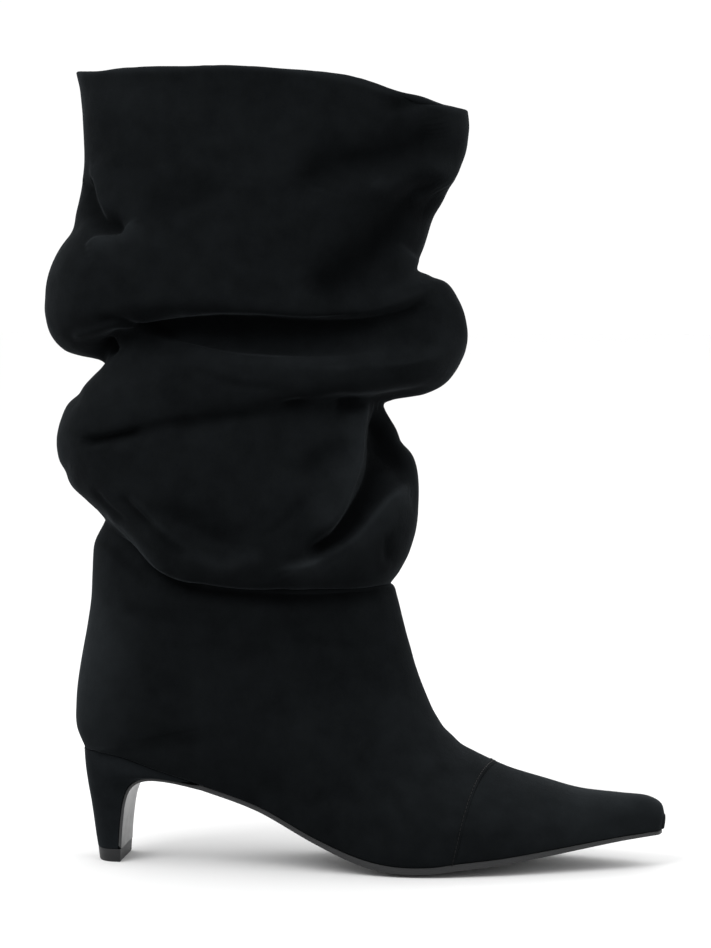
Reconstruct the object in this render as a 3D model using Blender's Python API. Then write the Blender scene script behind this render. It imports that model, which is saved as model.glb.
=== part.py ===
"""Slouch boot: a right boot in suede with a pointed snipped toe and a slim covered heel.

The shaft is slack and falls into two rolls above the ankle. Run it with
    blender --background --python part.py
Sizes are in millimetres until a mesh is made. X runs from the heel to the toe, Y to the inner
(medial) side of the foot, Z up. The floor is at Z = 0, and the origin ends up under the middle
of the whole boot.
"""

import math

import bpy
import bmesh
import numpy as np

MM = 0.001

# Driving sizes of the last. The tables below are shares of these.
LENGTH = 272.0          # heel to toe, along the floor
BALL_WIDTH = 78.0       # across the feather line at the ball
SEAT_HEIGHT = 53.0      # the feather line above the floor at the back of the heel
INSTEP = 93.5           # height of the instep where the sections close behind the heel
SHAFT_HEIGHT = 365.0    # collar above the floor

# Leather and fits
WALL = 1.6              # suede and its backing
FIT = 0.3               # clear space left between two pieces that touch
LASTING_MARGIN = 9.0    # how far the upper turns in under the insole
MARGIN_SHARE = 0.34     # most of the sole's width that the margin takes on either side
SEAT_SHARE = 0.45       # width of the margin's inner edge at the back, share of the seat's edge
SOLE = 3.0              # outsole at the ball
SOLE_TOE = 1.5          # outsole at the toe tip
SOLE_WAIST = 2.1        # outsole under the arch
SOLE_BREAST = 1.4       # outsole where it runs down the front of the heel
INSOLE = 2.2
INSOLE_INSET = 2.4      # insole edge inside the feather line
INSOLE_HEEL_INSET = 4.1   # the same behind the heel, where the upper's wall leans over it
LIFT = 6.0              # top lift under the heel

POINTS_LOW = 8          # steps from the sole, or the back, to the widest part of a section
POINTS_OVER = 8         # steps from there to the top or front
SEAT_POINTS = 2         # more steps that closed sections have, round the back of the seat

# The foot, from the toe tip back to the heel. Each section is a plane from the sole's centre up to the
# front line of the boot.
#   sole_x, sole_z   the feather line, shares of LENGTH and SEAT_HEIGHT
#   edge_out, edge_in   the feather line's sides, shares of BALL_WIDTH (out is negative Y)
#   dish             how far the middle of the sole lies below its edges, in mm
#   top_x, top_z     the front line, shares of LENGTH and INSTEP
#   ridge            how far the top leans to the inner side, share of BALL_WIDTH
#   wide_out, wide_in   the widest part, shares of BALL_WIDTH
#   wide_at          where that is, share of the way from the sole to the top
#   swell            exponent of the arc from the sole to there: 2 is an ellipse, less is flatter
#   crown            exponent of the arc over the top: more is squarer
FOOT_COLUMNS = ("sole_x", "sole_z", "edge_out", "edge_in", "dish", "top_x", "top_z", "ridge",
                "wide_out", "wide_in", "wide_at", "swell", "crown")
FOOT = (
    (0.9965, 0.330, 0.005, 0.110, 0.2, 1.0015, 0.255, 0.058, 0.000, 0.115, 0.50, 2.0, 2.4),
    (0.9930, 0.326, -0.030, 0.145, 0.3, 0.9965, 0.305, 0.058, -0.038, 0.153, 0.45, 2.0, 2.4),
    (0.9750, 0.318, -0.062, 0.182, 0.5, 0.9760, 0.340, 0.062, -0.076, 0.195, 0.42, 2.0, 2.5),
    (0.9300, 0.297, -0.135, 0.243, 0.8, 0.9250, 0.354, 0.068, -0.152, 0.258, 0.40, 2.0, 2.4),
    (0.8700, 0.255, -0.222, 0.315, 1.1, 0.8600, 0.371, 0.075, -0.240, 0.330, 0.38, 2.0, 2.2),
    (0.8050, 0.207, -0.317, 0.390, 1.4, 0.7950, 0.421, 0.080, -0.337, 0.400, 0.35, 2.0, 2.0),
    (0.7350, 0.160, -0.410, 0.455, 1.7, 0.7350, 0.474, 0.080, -0.430, 0.462, 0.32, 2.0, 1.8),
    (0.6600, 0.123, -0.478, 0.492, 1.9, 0.6800, 0.547, 0.075, -0.495, 0.497, 0.30, 2.0, 1.75),
    (0.6180, 0.096, -0.500, 0.482, 1.9, 0.6560, 0.585, 0.070, -0.518, 0.490, 0.30, 2.0, 1.75),
    (0.5580, 0.096, -0.497, 0.450, 1.9, 0.6400, 0.630, 0.064, -0.515, 0.466, 0.31, 2.0, 1.8),
    (0.5000, 0.150, -0.465, 0.398, 1.8, 0.6280, 0.665, 0.056, -0.488, 0.432, 0.33, 2.0, 1.85),
    (0.4200, 0.310, -0.410, 0.340, 1.2, 0.6175, 0.712, 0.046, -0.455, 0.408, 0.37, 2.0, 1.9),
    (0.3250, 0.560, -0.365, 0.305, 0.6, 0.6090, 0.757, 0.036, -0.436, 0.402, 0.41, 2.0, 1.95),
    (0.2250, 0.735, -0.347, 0.312, 0.2, 0.6020, 0.805, 0.026, -0.432, 0.408, 0.44, 2.0, 2.0),
    (0.1500, 0.855, -0.342, 0.324, 0.0, 0.5955, 0.853, 0.018, -0.434, 0.415, 0.45, 2.0, 2.0),
    (0.0880, 0.958, -0.318, 0.300, 0.0, 0.5890, 0.902, 0.012, -0.436, 0.420, 0.46, 1.8, 2.0),
    (0.0440, 0.994, -0.255, 0.241, 0.0, 0.5835, 0.948, 0.006, -0.438, 0.424, 0.46, 2.0, 2.05),
    (0.0150, 1.002, 0.000, 0.000, 0.0, 0.5780, 1.000, 0.000, -0.441, 0.428, 0.46, 2.8, 2.05),
)

# The shaft, from the counter up to the collar: one row for each section or fold.
#   back_x, back_z, front_x, front_z   where the row meets the back and front lines
#   out_y, out_z, in_y, in_z           its point at the middle of the outer and inner sides
#   round                              exponent of the plan behind the middle: more is blunter
# All are in mm on a boot of LENGTH and SHAFT_HEIGHT, and follow those two.
SHAFT_COLUMNS = ("back_x", "back_z", "front_x", "front_z", "out_y", "out_z", "in_y", "in_z",
                 "round")
SHAFT = (
    (0.3, 62.0, 155.6, 99.5, -34.6, 79.5, 33.6, 79.5, 2.7),  # heel seat
    (0.0, 73.0, 153.7, 106.0, -34.9, 88.5, 33.9, 88.5, 2.6),  # counter
    (0.9, 84.0, 152.0, 112.5, -35.2, 96.5, 34.2, 96.5, 2.5),
    (2.8, 96.0, 150.8, 117.5, -35.5, 104.0, 34.4, 104.5, 2.4),
    (5.0, 108.0, 149.8, 121.5, -35.8, 110.5, 34.6, 112.0, 2.3),  # ankle
    (6.9, 121.0, 148.9, 124.8, -36.1, 117.0, 34.8, 119.5, 2.2),
    (7.5, 135.0, 148.2, 127.3, -36.3, 123.0, 35.0, 127.0, 2.15),
    (8.6, 147.5, 147.5, 128.4, -36.4, 128.5, 35.1, 133.5, 2.1),  # last of the smooth lower leg
    (12.4, 155.0, 146.3, 129.2, -33.4, 138.5, 32.6, 143.5, 2.1),  # tucked up behind the lower roll
    (13.8, 157.9, 146.6, 129.9, -38.0, 130.6, 36.8, 135.5, 2.1),  # hem of the lower roll
    (10.2, 162.6, 150.0, 134.5, -42.2, 131.8, 40.6, 137.5, 2.0),
    (3.4, 168.6, 154.5, 143.0, -45.2, 138.0, 43.3, 144.0, 2.0),
    (-2.4, 174.4, 158.2, 156.0, -46.5, 149.0, 44.6, 156.0, 2.0),
    (-6.3, 182.0, 159.3, 172.0, -46.0, 165.0, 44.0, 171.0, 2.05),  # belly of the lower roll
    (-8.2, 189.0, 157.3, 186.0, -44.5, 181.0, 42.6, 186.0, 2.1),
    (-8.6, 193.5, 151.2, 197.0, -43.6, 194.0, 41.4, 197.5, 2.1),
    (-8.5, 198.0, 143.0, 211.7, -41.6, 204.8, 39.2, 206.0, 2.1),  # crease across the side
    (-7.4, 203.0, 146.5, 213.9, -43.4, 209.6, 41.2, 211.0, 2.1),
    (-4.2, 210.6, 161.5, 216.6, -44.6, 216.6, 43.0, 218.5, 2.1),
    (1.8, 218.6, 171.9, 222.4, -44.6, 225.0, 43.6, 227.0, 2.1),   # middle roll, deepest in front
    (9.8, 226.0, 178.5, 232.0, -42.6, 231.5, 42.0, 234.0, 2.1),
    (14.0, 229.3, 181.2, 241.5, -39.3, 235.0, 39.0, 239.0, 2.1),  # upper edge of the middle roll
    (12.0, 231.6, 180.7, 250.0, -34.3, 238.8, 36.0, 245.0, 2.1),  # floor of the deep fold
    (3.4, 233.8, 177.7, 259.2, -33.3, 246.0, 35.4, 252.0, 2.1),
    (-5.5, 237.0, 172.0, 267.6, -36.3, 251.0, 37.4, 257.0, 2.1),
    (-11.3, 243.2, 163.2, 270.6, -41.5, 252.6, 40.6, 260.0, 2.1),  # edge that hangs over the deep fold
    (-13.8, 251.0, 158.1, 273.2, -45.0, 257.5, 43.5, 265.0, 2.1),
    (-14.0, 259.0, 158.9, 278.0, -46.0, 266.0, 44.5, 272.0, 2.1),  # belly of the upper roll
    (-12.7, 269.0, 161.4, 284.5, -45.3, 277.0, 44.0, 281.0, 2.1),
    (-8.7, 280.0, 165.7, 295.0, -43.8, 290.0, 42.5, 293.0, 2.1),
    (-2.1, 292.3, 170.6, 305.8, -42.5, 305.0, 41.0, 306.0, 2.1),
    (2.2, 306.0, 176.5, 317.0, -42.0, 320.0, 40.5, 320.0, 2.1),
    (4.9, 322.0, 180.7, 327.0, -41.5, 336.0, 40.0, 335.0, 2.1),
    (4.2, 340.0, 182.3, 336.5, -41.0, 348.5, 39.5, 348.5, 2.1),
    (2.8, 355.0, 182.1, 341.8, -41.0, 358.5, 39.5, 357.5, 2.1),
    (1.3, 363.4, 181.5, 345.3, -41.3, 364.8, 39.8, 363.5, 2.1),    # collar
)
SHAFT_LENGTH_DRAWN = 272.0
SHAFT_HEIGHT_DRAWN = 365.0
SHAFT_WIDE_AT = 0.46    # the widest part, share of the way from back to front
SHAFT_ROUND = 2.1       # exponent of the plan in front of the middle
FOLD_TURN = 4           # how sharply a fold turns down from the back: more leaves the back level longer

# The front of the heel, from where the outsole leaves the arch to the top lift: the middle of the
# outsole's outer face, and its half width.
BREAST_COLUMNS = ("x", "z", "half")
BREAST = (
    (57.0, 36.9, 25.0),
    (50.0, 38.2, 23.8),
    (43.0, 39.0, 22.4),
    (36.5, 39.0, 20.9),
    (31.2, 37.5, 19.1),
    (27.4, 34.2, 17.6),
    (25.1, 28.5, 16.4),
    (23.8, 20.5, 15.6),
    (23.0, 12.0, 15.0),
    (22.7, LIFT + FIT, 14.8),
)

# The heel, from the seat down: one D-shaped section for each row of BREAST, lying just behind it.
#   back_x, back_z   its back; half_out, half_in   its sides; round   exponent of its back
HEEL_COLUMNS = ("back_x", "back_z", "half_out", "half_in", "round")
HEEL = (
    (3.9, 52.6, 26.6, 24.4, 3.1),
    (4.2, 48.0, 25.9, 24.0, 3.1),
    (4.6, 43.0, 24.9, 23.2, 3.0),
    (5.2, 38.0, 23.2, 21.9, 2.9),
    (5.9, 33.0, 21.2, 20.2, 2.8),
    (6.7, 28.0, 19.2, 18.5, 2.7),
    (7.5, 22.0, 17.5, 17.0, 2.6),
    (8.3, 16.0, 16.2, 16.0, 2.6),
    (9.0, 11.0, 15.4, 15.4, 2.6),
    (9.8, LIFT + FIT, 15.0, 15.0, 2.6),
)
HEEL_POINTS_PER_SIDE = 9

SOLE_STATIONS = (-1.0, -0.9, -0.75, -0.5, 0.0, 0.5, 0.75, 0.9, 1.0)
FLAT_SHARE = 0.5        # share of the sole's half width that is flat across
BACKMOST_SOLE_SECTION = 14   # the outsole follows the foot's sections this far back


def named(rows, columns):
    """A table's rows as dictionaries."""
    return [dict(zip(columns, row)) for row in rows]


def foot_sections():
    """The foot's table in millimetres."""
    sections = []
    for row in named(FOOT, FOOT_COLUMNS):
        section = dict(row)
        for key in ("sole_x", "top_x"):
            section[key] = row[key] * LENGTH
        for key in ("edge_out", "edge_in", "ridge", "wide_out", "wide_in"):
            section[key] = row[key] * BALL_WIDTH
        section["sole_z"] = row["sole_z"] * SEAT_HEIGHT
        section["top_z"] = row["top_z"] * INSTEP
        sections.append(section)
    return sections


def arc(angle, exponent):
    """Cosine and sine of a superellipse's quarter."""
    cos = max(0.0, math.cos(angle)) ** (2 / exponent)
    sin = max(0.0, math.sin(angle)) ** (2 / exponent)
    return cos, sin


def side_points(start, top, side_y, side_z, edge_y, wide_at, low_round, high_round, low_steps):
    """One side of a section, from start to top.

    It leaves start at edge_y, swells to side_y at wide_at and closes over the top.
    side_z is its height there, and None leaves it in the section's plane."""
    start = np.array(start, float)
    top = np.array(top, float)
    lift = 0.0
    if side_z is not None:
        lift = side_z - (start[2] + (top[2] - start[2]) * wide_at)
    points = []
    for step in range(low_steps + POINTS_OVER + 1):
        if step <= low_steps:
            angle = step / low_steps * math.pi / 2
            cos, sin = arc(angle, low_round)
            share = wide_at * (1 - cos)
            y = edge_y + (side_y - edge_y) * sin
        else:
            angle = (low_steps + POINTS_OVER - step) / POINTS_OVER * math.pi / 2
            cos, sin = arc(angle, high_round)
            share = wide_at + (1 - wide_at) * cos
            y = top[1] + (side_y - top[1]) * sin
        point = start + (top - start) * share
        point[1] = y
        point[2] += lift * math.sin(angle) ** (FOLD_TURN if step <= low_steps else 2)
        points.append(point)
    return points


def foot_rows(sections):
    """Points of each foot section from the outer edge of the sole, over the top, to the inner edge.

    The last one closes over the heel, and its first steps stay on the seat's edge."""
    rows = []
    for section in sections:
        closed = section is sections[-1]
        start = (section["sole_x"], 0.0, section["sole_z"])
        top = (section["top_x"], section["ridge"], section["top_z"])
        outer, inner = (
            side_points(start, top, section["wide_" + side], None, section["edge_" + side],
                        section["wide_at"], section["swell"], section["crown"],
                        POINTS_LOW + closed * SEAT_POINTS)
            for side in ("out", "in")
        )
        if closed:
            for point in outer[:SEAT_POINTS + 1] + inner[:SEAT_POINTS + 1]:
                point[2] = section["sole_z"]
        rows.append(outer + inner[-2::-1])
    return rows


def shaft_rows():
    """Closed rings from the counter to the collar, each starting and ending at the back."""
    rows = []
    across = LENGTH / SHAFT_LENGTH_DRAWN
    up = SHAFT_HEIGHT / SHAFT_HEIGHT_DRAWN
    for row in named(SHAFT, SHAFT_COLUMNS):
        back = (row["back_x"] * across, 0.0, row["back_z"] * up)
        front = (row["front_x"] * across, 0.0, row["front_z"] * up)
        outer, inner = (
            side_points(back, front, row[side + "_y"] * across, row[side + "_z"] * up, 0.0,
                        SHAFT_WIDE_AT, row["round"], SHAFT_ROUND, POINTS_LOW + SEAT_POINTS)
            for side in ("out", "in")
        )
        rows.append(outer + inner[-2:0:-1])
    return rows


def seat_height(sections, x, y):
    """Height of the last's bottom at a place in plan: flat across the middle, turned up at the edges."""
    along = [s["sole_x"] for s in reversed(sections)]
    edge_z, dish, out_y, in_y = (
        np.interp(x, along, [s[key] for s in reversed(sections)])
        for key in ("sole_z", "dish", "edge_out", "edge_in")
    )
    half = max((in_y - out_y) / 2, 0.1)
    share = min(1.0, abs(y - (out_y + in_y) / 2) / half)
    past_flat = max(0.0, share - FLAT_SHARE) / (1 - FLAT_SHARE)
    return edge_z - dish * (1 - past_flat ** 2)


def seat_row(sections, x, inset, rise):
    """Points across the last's bottom at x, from the outer edge to the inner one.

    inset is how far they stop inside the feather line, measured square to it."""
    along = [s["sole_x"] for s in reversed(sections)]
    ends = []
    for key, side in (("edge_out", 1), ("edge_in", -1)):
        edge = [s[key] for s in reversed(sections)]
        slope = np.interp(x, along, np.gradient(edge, along))
        ends.append(np.interp(x, along, edge) + side * inset * math.hypot(1, slope))
    row = []
    for share in SOLE_STATIONS:
        y = (ends[0] + ends[1]) / 2 + (ends[1] - ends[0]) / 2 * share
        row.append(np.array((x, y, seat_height(sections, x, y) + rise)))
    return row


def slopes(sections):
    """How steeply the sole climbs at each section, as the factor that keeps its thickness true."""
    x = [s["sole_x"] for s in sections]
    z = [s["sole_z"] for s in sections]
    factors = []
    for i in range(len(sections)):
        a, b = max(0, i - 1), min(len(sections) - 1, i + 1)
        factors.append(math.hypot(x[b] - x[a], z[b] - z[a]) / abs(x[b] - x[a]))
    return factors


def upper_shape(sections):
    """The upper's outer surface as points and faces, open at the collar and under the foot."""
    foot = foot_rows(sections)
    shaft = shaft_rows()
    points, faces = [], []

    def add(point):
        points.append(tuple(point))
        return len(points) - 1

    def join(lower, upper):
        for j in range(len(lower) - 1):
            faces.append((lower[j], lower[j + 1], upper[j + 1], upper[j]))

    open_rows = [[add(p) for p in row] for row in foot[:-1]]
    rings = [[add(p) for p in ring] for ring in [foot[-1][:-1]] + shaft]
    closing = rings[0]
    rings = [ring + ring[:1] for ring in rings]
    for lower, upper in zip(open_rows, open_rows[1:] + [rings[0][SEAT_POINTS:-SEAT_POINTS]]):
        join(lower, upper)
    for lower, upper in zip(rings, rings[1:]):
        join(lower, upper)
    faces.append(tuple(reversed(open_rows[0])))

    # The lasting margin: the feather line as one loop, and the same loop moved inwards.
    loop = [row[0] for row in reversed(open_rows)] + [row[-1] for row in open_rows]
    seat = closing[-SEAT_POINTS:] + closing[:SEAT_POINTS + 1]
    hindmost, foremost = sections[-1]["sole_x"] + LASTING_MARGIN, sections[0]["sole_x"] - LASTING_MARGIN
    outer_side, inner_side = [], []
    for section in sections[:-1]:
        out_y, in_y = section["edge_out"], section["edge_in"]
        width = min(LASTING_MARGIN, MARGIN_SHARE * (in_y - out_y))
        x = min(max(section["sole_x"], hindmost), foremost)
        outer_side.append((x, out_y + width))
        inner_side.append((x, in_y - width))
    plan = outer_side[::-1] + inner_side + [(hindmost, points[i][1] * SEAT_SHARE) for i in seat]
    loop += seat
    inner = [add((x, y, seat_height(sections, x, y))) for x, y in plan]
    for i in range(len(loop)):
        j = (i + 1) % len(loop)
        faces.append((loop[i], loop[j], inner[j], inner[i]))
    return points, faces


def slab_shape(top_rows, bottom_rows):
    """A closed slab between two grids with the same rows and columns."""
    points, faces = [], []
    grids = []
    for rows in (top_rows, bottom_rows):
        ids = []
        for row in rows:
            ids.append([len(points) + k for k in range(len(row))])
            points.extend(tuple(p) for p in row)
        grids.append(ids)
    top, bottom = grids
    last_row, last = len(top) - 1, len(top[0]) - 1
    for i in range(last_row):
        for j in range(last):
            faces.append((top[i][j], top[i][j + 1], top[i + 1][j + 1], top[i + 1][j]))
            faces.append((bottom[i][j], bottom[i + 1][j], bottom[i + 1][j + 1], bottom[i][j + 1]))
        faces.append((top[i][0], top[i + 1][0], bottom[i + 1][0], bottom[i][0]))
        faces.append((top[i][last], bottom[i][last], bottom[i + 1][last], top[i + 1][last]))
    for j in range(last):
        faces.append((top[0][j], bottom[0][j], bottom[0][j + 1], top[0][j + 1]))
        faces.append((top[last_row][j], top[last_row][j + 1], bottom[last_row][j + 1], bottom[last_row][j]))
    return points, faces


def breast_rows(before):
    """Each row of BREAST with the direction through the outsole's thickness, starting after a point."""
    rows = named(BREAST, BREAST_COLUMNS)
    path = [(before[0], before[2])] + [(row["x"], row["z"]) for row in rows]
    path.append((path[-1][0], path[-1][1] - 1.0))
    paired = []
    for i, row in enumerate(rows, start=1):
        run, climb = path[i + 1][0] - path[i - 1][0], path[i + 1][1] - path[i - 1][1]
        if i == len(rows):
            run, climb = 0.0, -1.0
        paired.append((row, np.array((climb, 0.0, -run)) / math.hypot(run, climb)))
    return paired


def outsole_shape(sections):
    """The outsole: flat where it meets the floor, then under the arch and down the front of the heel."""
    used = sections[:BACKMOST_SOLE_SECTION]
    steep = slopes(sections)
    top_rows, bottom_rows = [], []
    for i, section in enumerate(used):
        x = section["sole_x"]
        thick = np.interp(x / LENGTH, (0.40, 0.52, 0.70, 1.0), (SOLE_WAIST, SOLE, SOLE, SOLE_TOE))
        top_rows.append(seat_row(sections, x, 0.0, -FIT * steep[i]))
        bottom = seat_row(sections, x, 0.0, -(FIT + thick) * steep[i])
        for point in bottom:
            point[2] = max(0.0, point[2])
        bottom_rows.append(bottom)
    for row, across in breast_rows(bottom_rows[-1][len(SOLE_STATIONS) // 2]):
        outer = [np.array((row["x"], row["half"] * v, row["z"])) for v in SOLE_STATIONS]
        bottom_rows.append(outer)
        top_rows.append([p + across * SOLE_BREAST for p in outer])
    return slab_shape(top_rows, bottom_rows)


def insole_shape(sections):
    """The insole with its sock, lying on the lasting margin."""
    top_rows, bottom_rows = [], []
    steep = slopes(sections)
    heel = sections[-1]["sole_x"] + INSOLE_HEEL_INSET
    for i, section in enumerate(sections[2:-1], start=2):
        x = max(section["sole_x"], heel)
        base = (WALL + FIT) * steep[i]
        bottom_rows.append(seat_row(sections, x, INSOLE_INSET, base))
        top_rows.append(seat_row(sections, x, INSOLE_INSET, base + INSOLE * steep[i]))
    return slab_shape(top_rows, bottom_rows)


def d_section(row):
    """A D-shaped section: straight in front, rounded behind, from the outer to the inner front corner."""
    points = []
    for k in range(2 * HEEL_POINTS_PER_SIDE + 1):
        angle = k / HEEL_POINTS_PER_SIDE * math.pi / 2
        outer = k <= HEEL_POINTS_PER_SIDE
        cos, sin = arc(angle if outer else math.pi - angle, row["round"])
        x = row["front_x"] + (row["back_x"] - row["front_x"]) * sin
        z = row["front_z"] + (row["back_z"] - row["front_z"]) * sin
        y = -row["half_out"] * cos if outer else row["half_in"] * cos
        points.append(np.array((x, y, z)))
    return points


def stack_shape(rings):
    """A closed solid from a stack of rings, top ring first."""
    points, faces, ids = [], [], []
    for ring in rings:
        ids.append([len(points) + k for k in range(len(ring))])
        points.extend(tuple(p) for p in ring)
    count = len(ids[0])
    for upper, lower in zip(ids, ids[1:]):
        for k in range(count):
            after = (k + 1) % count
            faces.append((upper[k], lower[k], lower[after], upper[after]))
    for ring, order in ((ids[0], 1), (ids[-1], -1)):
        for k in range(count // 2):
            strip = (ring[k], ring[k + 1], ring[count - 2 - k], ring[count - 1 - k])
            faces.append(tuple(dict.fromkeys(strip[::order])))
    return points, faces


def heel_shape(sections):
    """The covered heel: its top follows the seat of the upper, its front the outsole."""
    before = sections[BACKMOST_SOLE_SECTION - 1]
    start = (before["sole_x"], 0.0, before["sole_z"] - FIT - SOLE_WAIST)
    rings = []
    for row, (breast, across) in zip(named(HEEL, HEEL_COLUMNS), breast_rows(start)):
        front = np.array((breast["x"], 0.0, breast["z"])) + across * (SOLE_BREAST + FIT)
        rings.append(d_section(dict(row, front_x=front[0], front_z=front[2])))
    for point in rings[0]:
        point[2] = seat_height(sections, point[0], point[1]) - 1.5 * FIT
    return stack_shape(rings)


def lift_shape():
    """The top lift: a slip of hard rubber as wide as the heel, a little smaller at the floor."""
    top = dict(back_x=9.9, back_z=LIFT, front_x=22.4, front_z=LIFT, half_out=15.1, half_in=15.1, round=2.6)
    foot = dict(top, back_x=10.6, back_z=0.0, front_x=22.2, front_z=0.0, half_out=14.7, half_in=14.7)
    return stack_shape([d_section(top), d_section(foot)])


def material(name, colour, roughness, sheen=0.0):
    """A Principled material for one piece."""
    made = bpy.data.materials.new(name)
    made.use_nodes = True
    shader = made.node_tree.nodes["Principled BSDF"]
    shader.inputs["Base Color"].default_value = (*colour, 1.0)
    shader.inputs["Roughness"].default_value = roughness
    shader.inputs["Metallic"].default_value = 0.0
    shader.inputs["Sheen Weight"].default_value = sheen
    made.diffuse_color = (*colour, 1.0)
    return made


def make(name, shape, centre, finish):
    """One named object from points and faces in millimetres."""
    points, faces = shape
    placed = [((x - centre[0]) * MM, (y - centre[1]) * MM, z * MM) for x, y, z in points]
    mesh = bpy.data.meshes.new(name)
    mesh.from_pydata(placed, [], faces)
    shaping = bmesh.new()
    shaping.from_mesh(mesh)
    bmesh.ops.remove_doubles(shaping, verts=shaping.verts, dist=0.02 * MM)
    bmesh.ops.recalc_face_normals(shaping, faces=shaping.faces)
    shaping.to_mesh(mesh)
    shaping.free()
    mesh.shade_smooth()
    mesh.set_sharp_from_angle(angle=math.radians(40))
    mesh.materials.append(finish)
    made = bpy.data.objects.new(name, mesh)
    bpy.context.scene.collection.objects.link(made)
    return made


def build():
    """Makes every piece, with the origin under the middle of the boot."""
    for old in list(bpy.data.objects):
        bpy.data.objects.remove(old)
    sections = foot_sections()
    shapes = {
        "upper": upper_shape(sections),
        "outsole": outsole_shape(sections),
        "insole": insole_shape(sections),
        "heel": heel_shape(sections),
        "top_lift": lift_shape(),
    }
    every = np.array([p for points, _ in shapes.values() for p in points])
    centre = (every.min(axis=0) + every.max(axis=0)) / 2
    suede = material("black_suede", (0.012, 0.012, 0.013), 0.95, sheen=0.3)
    sole_leather = material("sole_leather", (0.035, 0.035, 0.036), 0.4)
    lining = material("insole_leather", (0.02, 0.02, 0.02), 0.6)
    rubber = material("lift_rubber", (0.05, 0.05, 0.052), 0.5)
    finishes = {"upper": suede, "outsole": sole_leather, "insole": lining, "heel": suede, "top_lift": rubber}
    for name, shape in shapes.items():
        piece = make(name, shape, centre, finishes[name])
        if name == "upper":
            wall = piece.modifiers.new("wall", "SOLIDIFY")
            wall.thickness = WALL * MM
            wall.offset = -1.0
            wall.use_even_offset = True
            wall.thickness_clamp = 1.0
            wall.use_rim = True


build()
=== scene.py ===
"""The looks of a right slouch boot in black suede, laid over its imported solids.

Sizes are in millimetres, drawn from the back of the heel, and are turned into metres on the frame's
own origin when a mesh is made. X runs to the toe, Y to the inner side of the foot, Z up.
"""

import math

import bmesh
import bpy
import numpy as np
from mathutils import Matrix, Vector, noise


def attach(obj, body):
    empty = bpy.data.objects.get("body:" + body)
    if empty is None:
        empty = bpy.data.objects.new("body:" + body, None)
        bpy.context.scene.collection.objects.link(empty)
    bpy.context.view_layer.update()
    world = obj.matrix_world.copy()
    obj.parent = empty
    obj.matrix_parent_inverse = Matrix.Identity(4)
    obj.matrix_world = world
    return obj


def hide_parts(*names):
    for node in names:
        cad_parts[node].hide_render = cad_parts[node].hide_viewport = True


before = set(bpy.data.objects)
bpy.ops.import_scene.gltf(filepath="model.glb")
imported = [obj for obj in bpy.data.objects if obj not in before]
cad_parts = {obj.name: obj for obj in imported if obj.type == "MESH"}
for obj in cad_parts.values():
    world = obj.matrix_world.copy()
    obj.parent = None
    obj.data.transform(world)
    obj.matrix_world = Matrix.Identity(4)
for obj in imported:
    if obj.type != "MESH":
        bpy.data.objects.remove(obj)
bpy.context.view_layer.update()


# THE UPPER'S SUEDE
# Black suede, lasted tight over the foot and left slack above the ankle, where it falls into two
# rolls. Its lower edge is turned in under the insole and glued.

LENGTH = 272.0
BALL_WIDTH = 78.0
SEAT_HEIGHT = 53.0
INSTEP = 93.5
WALL = 1.6
LASTING_MARGIN = 9.0
MARGIN_SHARE = 0.34
SEAT_SHARE = 0.45
SHAFT_WIDE_AT = 0.46
SHAFT_ROUND = 2.1
FOLD_TURN = 4
TUCK = 9                # the ring that is tucked up behind the lower roll, counted from the seat
TOE_BULGE = 1.3         # how far the snipped tip is rounded forward
SEAT_STEPS = 11         # columns that the closed rings have more, on either side of the back
TIP_TURNS = (90, 78, 64, 50, 36, 22, 10)    # degrees that the rows closing the tip have turned
TIP_ROWS = len(TIP_TURNS) - 1   # rows of the tip that only the suede has
COLLAR_FACING = 13      # rows of suede that come down inside the collar
FACING_INSIDE = 2.4     # how far inside the suede they lie
COLLAR_EDGE = ((0.25, 0.45), (0.7, 0.75), (1.2, 0.85), (1.7, 0.75), (2.15, 0.45), (FACING_INSIDE, 0.0))
MARGIN_STEPS = (0.3, 1.0)   # shares of the way in, of the rows of what is turned in underneath
FOOT_STEPS = 44         # steps over each half of a section of the foot
SHAFT_STEPS = 75        # and over each half of one side of the shaft
FOOT_WIDEST = 1.9       # the widest step along the foot
SHAFT_WIDEST = 1.2      # and up the shaft
ORIGIN = (129.204, -0.95)   # the frame's origin as drawn

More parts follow.
